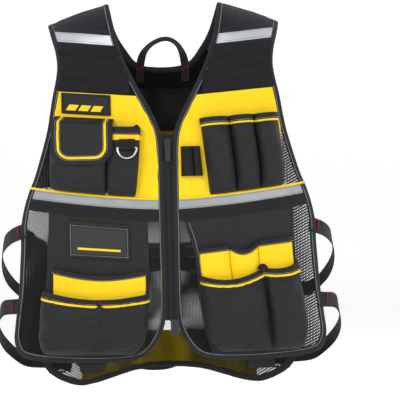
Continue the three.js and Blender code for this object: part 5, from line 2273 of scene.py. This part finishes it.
@dataclass
class Flap:
    """The flap over the right chest pocket."""

    pocket: Pocket
    near: float = 0.329
    far: float = 0.684
    top_near: float = 0.27
    top_far: float = 0.259
    foot: float = 0.3845
    corner: float = 28.0
    rise: float = 13.0
    border: float = 9.0

    def __post_init__(self) -> None:
        """Draws its edge."""
        near, far = self.near * Body.HEM_HALF, self.far * Body.HEM_HALF
        top = Cut.slant(self.top_near, self.top_far, self.near, self.far)
        foot = -self.foot * Body.LENGTH
        turn = np.linspace(0, math.pi / 2, 9)
        r = self.corner
        near_corner = points_of(near + r - r * np.cos(turn), foot + r - r * np.sin(turn))
        far_corner = points_of(far - r + r * np.sin(turn), foot + r - r * np.cos(turn))
        self.top = top
        self.edge = np.vstack([[(near, top(near))], near_corner, far_corner, [(far, top(far))]])

    def lift(self, x: np.ndarray, run: np.ndarray) -> np.ndarray:
        """The height of its inner side over the body.

        Args:
            x: Across, in millimetres.
            run: The length of cloth below the shoulder seam.

        Returns:
            The heights.
        """
        z = Body.height(x, run)
        across = np.abs(x) / Body.HEM_HALF
        share = 2 * (across - self.near) / (self.far - self.near) - 1
        below = np.maximum(self.top(x) - z, 0)
        stand = self.pocket.cut.depth * ease(np.minimum(below / self.rise, 1)) * (1 - 0.12 * share**4)
        soft = 1.1 * ripple(x, run, 46, 23) + 1.5 * crease(x, run, 40, 24)
        return 4.6 + stand + soft * ease(below / 20)

    def inset(self, distance: float) -> Points:
        """Its edge moved in, from the top on one side round to the top on the other."""
        return Path.moved(Path.even(self.edge, 3.0), distance)

    def make(self, seams: list[Points]) -> None:
        """Makes the flap with its border, piping and seams.

        Args:
            seams: The seams so far.
        """
        shell = Cloth.cut(FRONT, [Path.mirrored(self.edge)], 0, 2.0, 4.0, shape=self.lift)
        dress(shell, "flap", Finish.CANVAS, ["pocket_flap"])
        outer, inner = self.inset(-0.5), self.inset(self.border)
        a = Body.flat(outer * (-1, 1))
        b = Body.flat(inner * (-1, 1))
        share = np.array([0.0, 0.04, 0.5, 0.96, 1.0])
        flat = a[:, None] + (b - a)[:, None] * share[None, :, None]
        lift = self.lift(flat[..., 0].ravel(), flat[..., 1].ravel())
        over = np.tile([0.6, 2.9, 3.1, 2.9, 2.3], len(a))
        top = Body.place(FRONT, flat.reshape(-1, 2), lift + over).reshape(len(a), 5, 3)
        low = Body.place(FRONT, flat.reshape(-1, 2), lift - 0.5).reshape(len(a), 5, 3)
        run = np.arange(len(a)) * 3.0
        uvs = np.stack(np.broadcast_arrays(share[None, :] * 9, run[:, None]), axis=-1)
        dress(Shell.slab(top, low, uvs), "flap_binding", Finish.BINDING)
        low = self.line(11.2, 2.7)
        hint = self.line(11.2, 6.7) - low
        dress(Tubes.along(low, hint, Tubes.ring(2.1, 8, 0.7)), "flap_piping", Finish.YELLOW)
        seams += [self.line(distance, over) for distance, over in ((7.4, 3.3), (14.6, 2.3))]

    def line(self, distance: float, over: float) -> Points:
        """A line in space at a distance in from the edge and a height over the inner side."""
        flat = Body.flat(self.inset(distance) * (-1, 1))
        return Body.place(FRONT, flat, self.lift(flat[:, 0], flat[:, 1]) + over)


@dataclass(frozen=True)
class LowerPanels:
    """The black panels behind the lower pockets."""

    right: Rows = (
        (0.13, 0.54), (0.13, 0.66), (0.145, 0.75), (0.17, 0.82), (0.21, 0.88), (0.76, 0.88),
        (0.795, 0.84), (0.79, 0.75), (0.765, 0.66), (0.74, 0.49), (0.13, 0.5),
    )
    left: Rows = (
        (0.102, 0.54), (0.144, 0.595), (0.167, 0.66), (0.182, 0.738), (0.212, 0.816),
        (0.262, 0.88), (0.79, 0.88), (0.84, 0.84), (0.838, 0.769), (0.812, 0.693),
        (0.782, 0.616), (0.771, 0.49), (0.102, 0.5),
    )

    def make(self) -> None:
        """Makes both panels, with their bound outer edges."""
        below = Path.band(lines_from(Cut.belt, 29.0), lambda x: 0 * x - 700.0, 0.0, 262.0)
        seams = []
        for side, rows in ((Side.RIGHT, cut(self.right)), (Side.LEFT, cut(self.left))):
            loops = [Path.sided(side, rows), Path.sided(side, below), Cut.front_inside(side, Cut.UNDER)]
            shell = Cloth.cut(FRONT, loops, 0.75, 1.5, 6.0, shape=Cloth.folds(61, 0.6))
            piece = dress(shell, f"panel_{side.word}", Finish.CANVAS, [f"lower_panel_{side.word}"])
            f"net_{side.word}"
            edge = rows[1:4] if side is Side.RIGHT else rows[:5]
            line = Path.smooth(edge, 4) * (side.value, 1)
            shell = Trim.swept(FRONT, line, Trim.BINDING * (0.8, 1) + (0, 1.4), 63, turn=side.value)
            dress(shell, f"panel_binding_{side.word}", Finish.BINDING)
            seams.append(Trim.at(FRONT, line, 6.0, 4.1, side.value))
        Weaver.seam("panel_seams", seams, Finish.THREAD)


@dataclass(frozen=True)
class HemTabs:
    """Short webbing tabs that hang below the front hem."""

    spans: tuple = ((Side.RIGHT, 112.0, 152.0), (Side.LEFT, 127.0, 170.0))
    top: float = 566.0
    foot: float = 588.0

    def make(self) -> None:
        """Makes both tabs."""
        for side, near, far in self.spans:
            loop = Path.band(lambda x: 0 * x - self.top, lambda x: 0 * x - self.foot, near, far)
            shell = Cloth.cut(FRONT, [Path.sided(side, loop)], -2.6, 1.6, 4.0)
            dress(shell, f"hem_tab_{side.word}", Finish.WEBBING)


@dataclass(frozen=True)
class Badge:
    """A plain patch with a raised border and hazard bars."""

    near: float = 0.345
    far: float = 0.648
    high: float = 34.0
    border: float = 3.2
    bars: int = 4

    def make(self) -> None:
        """Makes the patch."""
        top = Cut.slant(0.2088, 0.1985, self.near, self.far)
        near, far = self.near * Body.HEM_HALF, self.far * Body.HEM_HALF

        def region(start: float, stop: float, inset: float) -> Points:
            """The part of the patch between two depths, moved in at its ends."""
            lines = lines_from(top, start), lines_from(top, stop)
            return Path.mirrored(Path.band(*lines, near + inset, far - inset))

        outer = region(0, self.high, 0)
        inner = region(self.border, self.high - self.border, self.border)
        shell = Cloth.cut(FRONT, [outer], 2.2, 1.6, 4.0, shape=Cloth.folds(31, 0.35))
        dress(shell, "badge", Finish.CANVAS, ["badge_patch"])
        shell = Cloth.cut(FRONT, [outer], 3.6, 1.0, 3.0, [inner], shape=Cloth.folds(31, 0.35))
        dress(shell, "badge_border", Finish.BINDING)
        bars = []
        strip = region(self.high - 15, self.high - 5.5, 7)
        pace = (far - near) / self.bars
        for i in range(-2, self.bars + 1):
            x = -far + i * pace
            z = float(top(np.array([-x]))[0])
            bar = np.array([
                (x, z - 40), (x + pace * 0.82, z - 40), (x + pace * 0.82 + 30, z + 6), (x + 30, z + 6)
            ])
            if Path.inside(strip, Path.even(bar, 2.0)).sum() > 3:
                bars.append(Cloth.cut(FRONT, [bar, strip], 3.9, 0.4, 3.0, shape=Cloth.folds(31, 0.35)))
        dress(Shell.joined(bars), "badge_bars", Finish.YELLOW)


@dataclass(frozen=True)
class Zip:
    """The front zip: tapes, teeth and the box at its foot."""

    top: float = -0.31 * Body.LENGTH
    foot: float = -0.783 * Body.LENGTH
    box: float = 25.0

    def make(self) -> None:
        """Makes the zip; its slider and pull are the frame's own."""
        zs = np.linspace(self.top, self.foot, 90)
        edge = np.interp(-zs, -Cut.NECK_AND_FRONT[:, 1], Cut.NECK_AND_FRONT[:, 0]) + 2.5
        z = np.repeat(zs[:, None], 3, axis=1)
        tapes = [
            Shell.plate(np.stack([side * 0.5 + 0 * zs, side * edge / 2, side * edge], axis=1), z, 0.2, 1.2)
            for side in (-1, 1)
        ]
        dress(Shell.joined(tapes), "zip_tapes", Finish.WEBBING, ["zip"])
        for word, shift, x in (("right", 0.0, -1.1), ("left", 1.35, 1.1)):
            line = Body.on(FRONT, points_of(np.full(len(zs), x), zs - shift), 2.1)
            Weaver.seam(f"zip_teeth_{word}", [line], Finish.PLASTIC, 2.7, (0.95, 2.3, 1.25))
        x, z = np.meshgrid(np.linspace(-1.0, 12.5, 5), np.linspace(self.foot + 1, self.foot - self.box, 4))
        dress(Shell.plate(x, z, 0.4, 3.4), "zip_box", Finish.PLASTIC, sharp=35)


@dataclass(frozen=True)
class Ring:
    """The tool ring's tab; the ring is the frame's own."""

    middle: tuple[float, ...] = (-66.70, -141.48, -220.55)
    turn: float = -0.0733
    wide: float = 26.0
    high: float = 14.0
    radius: float = 2.7
    thick: float = 1.3

    def make(self) -> None:
        """Makes the folded webbing tab."""
        along = np.array((math.cos(self.turn), math.sin(self.turn), 0))
        out = np.array((math.sin(self.turn), -math.cos(self.turn), 0))
        turn = np.linspace(-math.pi / 2, math.pi / 2, 14)
        loop = points_of(self.radius * np.sin(turn), -self.radius * np.cos(turn))
        back = [(-self.radius, self.high), (-self.radius, self.high / 2)]
        front = [(-self.radius + 2.4, self.high / 2), (-self.radius + 2.0, self.high)]
        path = Path.smooth(np.vstack([back, loop, [(1.2, 5.0)], front]), 1.0)
        points = np.array(self.middle) + path[:, :1] * out + path[:, 1:] * (0, 0, 1)
        normal = np.gradient(path, axis=0) @ np.array([[0, -1], [1, 0]])
        hint = normal[:, :1] * out + normal[:, 1:] * np.array((0, 0, 1))
        shell = Tubes.along(points, hint, Tubes.band(self.wide, self.thick, 0.5, 10))
        dress(shell, "ring_webbing", Finish.WEBBING, ["ring_tab"])


@dataclass(frozen=True)
class Back:
    """The yoke, slate patches, tapes, panels and webbings of the back."""

    slate: Rows = (
        (0.2, 0.05), (0.25, 0.075), (0.45, 0.133), (0.6, 0.162), (0.9, 0.2), (0.9, -0.2), (0.2, -0.2)
    )
    bands: tuple = (
        ("back_silver", "back_tape", Finish.GREY, 0.192, 0.2165, 0.505, 0.505, 1.9),
        ("back_panel", "back_yellow_panel", Finish.YELLOW, 0.217, 0.315, 0.5, 0.47, 0.75),
        ("back_lining", "", Finish.CANVAS, 0.186, 0.298, 0.52, 0.48, -0.3),
        ("back_waist_silver", "back_waist_tape", Finish.GREY, 0.609, 0.636, 0.5, 0.56, 1.9),
        ("back_waist_band", "back_waist_webbing", Finish.WEBBING, 0.6365, 0.672, 0.56, 0.56, 1.9),
        ("back_waist_piping", "", Finish.YELLOW, 0.5965, 0.6085, 0.49, 0.5, 1.7),
        ("hem_panel", "back_hem_panel", Finish.HEM, 0.83, 1.1, 0.57, 0.57, 0.75),
        ("hem_webbing", "back_hem_webbing", Finish.WEBBING, 0.873, 0.919, 0.6, 0.6, 2.0),
    )

    def make(self) -> None:
        """Makes the pieces of the back."""
        under, whole = Cut.back_inside(Cut.UNDER), Cut.back_inside(9.3)
        for name, node, finish, top, foot, near, far, low in self.bands:
            loop = cut([(-near, top), (near, top), (far, foot), (-far, foot)])
            inside = under if low < 1 else whole
            thick = 0.9 if low < 1 else 1.1
            shell = Cloth.cut(BACK, [loop, inside], low, thick, 5.0, shape=Cloth.folds(81, 0.5))
            dress(shell, name, finish, [node] if node else [])
        slates = [Path.sided(side, cut(self.slate)) for side in BOTH]
        yoke = cut([(-1, -0.1), (1, -0.1), (1, 0.192), (-1, 0.192)])
        shell = Cloth.cut(BACK, [yoke, under], 0.75, 1.1, 6.0, slates, shape=Cloth.folds(83, 0.5))
        dress(shell, "yoke", Finish.LOOP, ["back_yoke"])
        for side, loop in zip(BOTH, slates):
            shell = Cloth.cut(BACK, [loop, under], 0.75, 1.2, 6.0, shape=Cloth.folds(85, 0.7))
            dress(shell, f"slate_patch_{side.word}", Finish.SLATE, [f"slate_{side.word}"])
        frame_outer = cut([(-0.08, 0.222), (0.08, 0.222), (0.08, 0.25), (-0.08, 0.25)])
        shell = Cloth.cut(BACK, [frame_outer], 1.8, 1.0, 4.0)
        dress(shell, "back_tab", Finish.CANVAS)
        seams = []
        for _, _, _, top, foot, near, far, low in self.bands:
            for down, half in ((top + 0.0028, near), (foot - 0.0028, far)):
                if low > 1 and down < 0.95:
                    line = Path.even(cut([(-half * 0.97, down), (half * 0.97, down)]), 5)
                    seams.append(Body.on(BACK, line, low + 1.6))
        Weaver.seam("back_seams", seams, Finish.DARK_THREAD, 2.9, (1.0, 0.34, 0.3))
        for x in (-75, -32, 32, 75):
            Tacks.add(BACK, (x, -577), 4.0, True, 22)


@dataclass(frozen=True)
class HammerLoop:
    """The loop of webbing on the back hem."""

    middle: float = -21.9
    top: float = -561.8
    half: float = 34.0
    out: float = 40.0
    high: float = 34.0
    sag: float = 12.0
    thick: float = 1.9

    def make(self) -> None:
        """Makes the loop."""
        turn = np.linspace(0, math.pi, 40)
        x = self.middle + self.half * np.cos(turn)
        z = self.top - self.high / 2 - self.sag * np.sin(turn)
        base = Body.on(BACK, points_of(x, z), 4.6)
        base[:, 1] = np.maximum(base[:, 1], 0) + (self.out - 5) * np.sin(turn) ** 0.8
        hint = points_of(np.cos(turn), 0.9 * np.sin(turn) + 0.1, 0 * turn)
        shell = Tubes.along(base, hint, Tubes.band(self.high, self.thick, 0.6, 14))
        dress(shell, "hammer_webbing", Finish.WEBBING, ["hammer_loop"])
        for x in (self.middle - self.half + 3, self.middle + self.half - 3):
            Tacks.add(BACK, (x, self.top - 17), 7.4, True, 26)


@dataclass(frozen=True)
class SideStraps:
    """The adjustable straps at the sides; their buckles are the frame's own."""

    upper: tuple = (
        (FRONT, 0.86, 0.549, 1.5), (FRONT, 0.9, 0.553, 1.8), (FRONT, 0.965, 0.566, 1.0),
        (FRONT, 1.0, 0.59, 3), (BACK, 1.0, 0.635, 5), (BACK, 0.94, 0.69, 8), (BACK, 0.86, 0.722, 5),
    )
    lower: tuple = (
        (FRONT, 0.88, 0.742, 1.5), (FRONT, 0.91, 0.744, 1.8), (FRONT, 0.985, 0.75, 1.0),
        (FRONT, 1.01, 0.765, 3), (BACK, 1.0, 0.81, 5), (BACK, 0.94, 0.862, 8), (BACK, 0.86, 0.893, 5),
    )
    upper_end: tuple[float, ...] = (0.714, 0.732, 0.62)
    lower_end: tuple[float, ...] = (0.722, 0.906, 0.63)
    wide: float = 25.0
    thick: float = 1.5

    def make(self) -> None:
        """Makes the four straps."""
        for side in BOTH:
            for place, rows, ends in (
                ("upper", self.upper, self.upper_end), ("lower", self.lower, self.lower_end)
            ):
                points = []
                for face, across, down, lift in rows:
                    z = -down * Body.LENGTH
                    x = side.value * across * float(Body.half(np.array([z]))[0])
                    points.append(Body.on(face, np.array([(x, z)]), lift)[0])
                across, down, end = ends
                for share, low in ((across, 8.5), (end, 3.6)):
                    z = -(down + (0.012 if share == end else 0)) * Body.LENGTH
                    spot = np.array([(side.value * share * Body.HEM_HALF, z)])
                    points.append(Body.on(BACK, spot, low)[0])
                line = Path.smooth(np.array(points), 4)
                hint = line * (1, 1, 0) + (0, 0, 0.001)
                shell = Tubes.along(line, hint, Tubes.band(self.wide, self.thick, 0.5, 10))
                name = f"strap_{place}_{side.word}"
                dress(shell, name, Finish.WEBBING, [f"side_{name}"])
                out = hint[2] / np.linalg.norm(hint[2])
                up = np.array((0, 0, 1.0))
                Tacks.lines.append(Trim.tack(line[5] + out * 1.4, up, out, 23, 4.6))
                Tacks.lines.append(Trim.tack(line[-3] + np.array((0, 1.4, 0)), up, (0, 1, 0), 22, 4))


@dataclass(frozen=True)
class Hanger:
    """The webbing loop at the neck."""

    rows: tuple = (
        (-0.148, 0.168), (-0.148, 0.128), (-0.12, 0.088), (-0.05, 0.062), (0.03, 0.054),
        (0.09, 0.066), (0.13, 0.094), (0.146, 0.128), (0.146, 0.168),
    )
    depth: float = 99.0

    def make(self) -> None:
        """Makes the loop, which twists at its top."""
        flat = Path.smooth(cut(self.rows), 3.0)
        points = points_of(flat[:, 0], np.full(len(flat), self.depth), flat[:, 1])
        share = np.linspace(-1, 1, len(flat))
        twist = np.radians(58) * np.exp(-((share / 0.55) ** 4))
        up = np.gradient(points, axis=0)
        up = unit(points_of(-up[:, 2], 0 * share, up[:, 0]))
        hint = np.cos(twist)[:, None] * (0, -1, 0) + np.sin(twist)[:, None] * up
        shell = Tubes.along(points, hint, Tubes.band(14.0, 1.5, 0.5, 8))
        dress(shell, "hanger", Finish.WEBBING, ["hanger_loop"])
        for x in (-39, 38.5):
            Tacks.lines.append(Trim.tack((x, self.depth - 1.4, -84), (1, 0, 0.2), (0, -1, 0), 12))


@dataclass(frozen=True)
class Studio:
    """The camera, the lights and the plain backdrop."""

    aim: tuple[float, ...] = (0.0534, -0.060, -0.310)
    azimuth: float = math.radians(-2.0)
    elevation: float = math.radians(1.0)
    distance: float = 4.44
    lens: float = 240.7
    roll: float = math.radians(1.27)

    def camera(self) -> None:
        """Sets the camera at the photograph's angle."""
        data = bpy.data.cameras.new("camera")
        data.lens, data.sensor_width = self.lens, 36.0
        camera = bpy.data.objects.new("camera", data)
        away = Vector((
            math.sin(self.azimuth) * math.cos(self.elevation),
            -math.cos(self.azimuth) * math.cos(self.elevation), math.sin(self.elevation),
        ))
        camera.location = Vector(self.aim) + away * self.distance
        turn = (-away).to_track_quat("-Z", "Y").to_matrix().to_4x4()
        camera.rotation_euler = (turn @ Matrix.Rotation(-self.roll, 4, "Z")).to_euler()
        bpy.context.scene.collection.objects.link(camera)
        bpy.context.scene.camera = camera

    def lamp(self, name: str, place: tuple[float, float, float], power: float, size: float) -> None:
        """A square soft light that looks at the vest.

        Args:
            name: The light's name.
            place: Its place, in metres.
            power: Its power, in watts.
            size: The length of its side, in metres.
        """
        data = bpy.data.lights.new(name, "AREA")
        data.energy, data.size = power, size
        lamp = bpy.data.objects.new(name, data)
        lamp.location = place
        lamp.rotation_euler = (Vector(self.aim) - lamp.location).to_track_quat("-Z", "Y").to_euler()
        bpy.context.scene.collection.objects.link(lamp)

    def backdrop(self) -> None:
        """A pale round floor that rises into a wall all round."""
        profile = [(0.0002, -0.75), (8.2, -0.75), (9.1, -0.6), (9.6, -0.1), (9.8, 0.8), (9.8, 6.0)]
        line = Path.smooth(profile, 0.25)
        turn = np.linspace(0, math.tau, 65)[:-1]
        rows = np.stack([
            line[:, :1] * np.cos(turn), line[:, :1] * np.sin(turn), line[:, 1:] + 0 * turn
        ], axis=-1)
        shell = Shell.grid(rows, rows[..., :2], closed_u=True)
        mesh = bpy.data.meshes.new("backdrop")
        mesh.from_pydata(shell.verts.tolist(), [], shell.faces)
        mesh.polygons.foreach_set("use_smooth", [True] * len(mesh.polygons))
        obj = bpy.data.objects.new("backdrop", mesh)
        bpy.context.scene.collection.objects.link(obj)
        shade = Shade("backdrop", 0.9)
        shade.surface.inputs["Base Color"].default_value = (0.6, 0.6, 0.6, 1)
        shade.surface.inputs["Emission Color"].default_value = (1, 1, 1, 1)
        shade.surface.inputs["Emission Strength"].default_value = 0.57
        mesh.materials.append(shade.material)

    def make(self) -> None:
        """Makes the whole studio."""
        bpy.context.scene.view_settings.view_transform = "Standard"
        self.camera()
        self.backdrop()
        self.lamp("key", (-1.9, -3.4, 2.1), 75, 1.5)
        self.lamp("fill", (2.4, -3.0, 0.6), 32, 2.0)
        self.lamp("rim_left", (-2.2, 1.0, 1.6), 30, 1.2)
        self.lamp("rim_right", (2.2, 1.0, 1.2), 30, 1.2)
        world = bpy.data.worlds.new("world")
        bpy.context.scene.world = world
        world.use_nodes = True
        sky = world.node_tree.nodes["Background"]
        sky.inputs["Color"].default_value = (1, 1, 1, 1)
        sky.inputs["Strength"].default_value = 0.2


@dataclass(frozen=True)
class Hardware:
    """The frame's own hard pieces, which only get their finish."""

    finishes: tuple = (
        ("d_ring", Finish.NICKEL), ("zip_slider", Finish.PLASTIC), ("zip_pull", Finish.PLASTIC),
        ("buckle_upper_right", Finish.PLASTIC), ("buckle_upper_left", Finish.PLASTIC),
        ("buckle_lower_right", Finish.PLASTIC), ("buckle_lower_left", Finish.PLASTIC),
    )

    def make(self) -> None:
        """Gives each its material."""
        for node, finish in self.finishes:
            obj = bpy.data.objects[node]
            for slot in obj.material_slots:
                slot.material = finish.material()


def main() -> None:
    """Builds the vest and its studio."""
    logging.basicConfig(level=logging.INFO, format="%(message)s")
    Studio().make()
    for part in (
        Nets, Bindings, Chest, Shoulders, Pockets, LowerPanels, HemTabs, Badge, Zip, Ring, Back, HammerLoop,
        SideStraps, Hanger, Hardware, Tacks,
    ):
        part().make()
        LOG.info("%s: done", part.__name__)


if __name__ == "__main__":
    main()
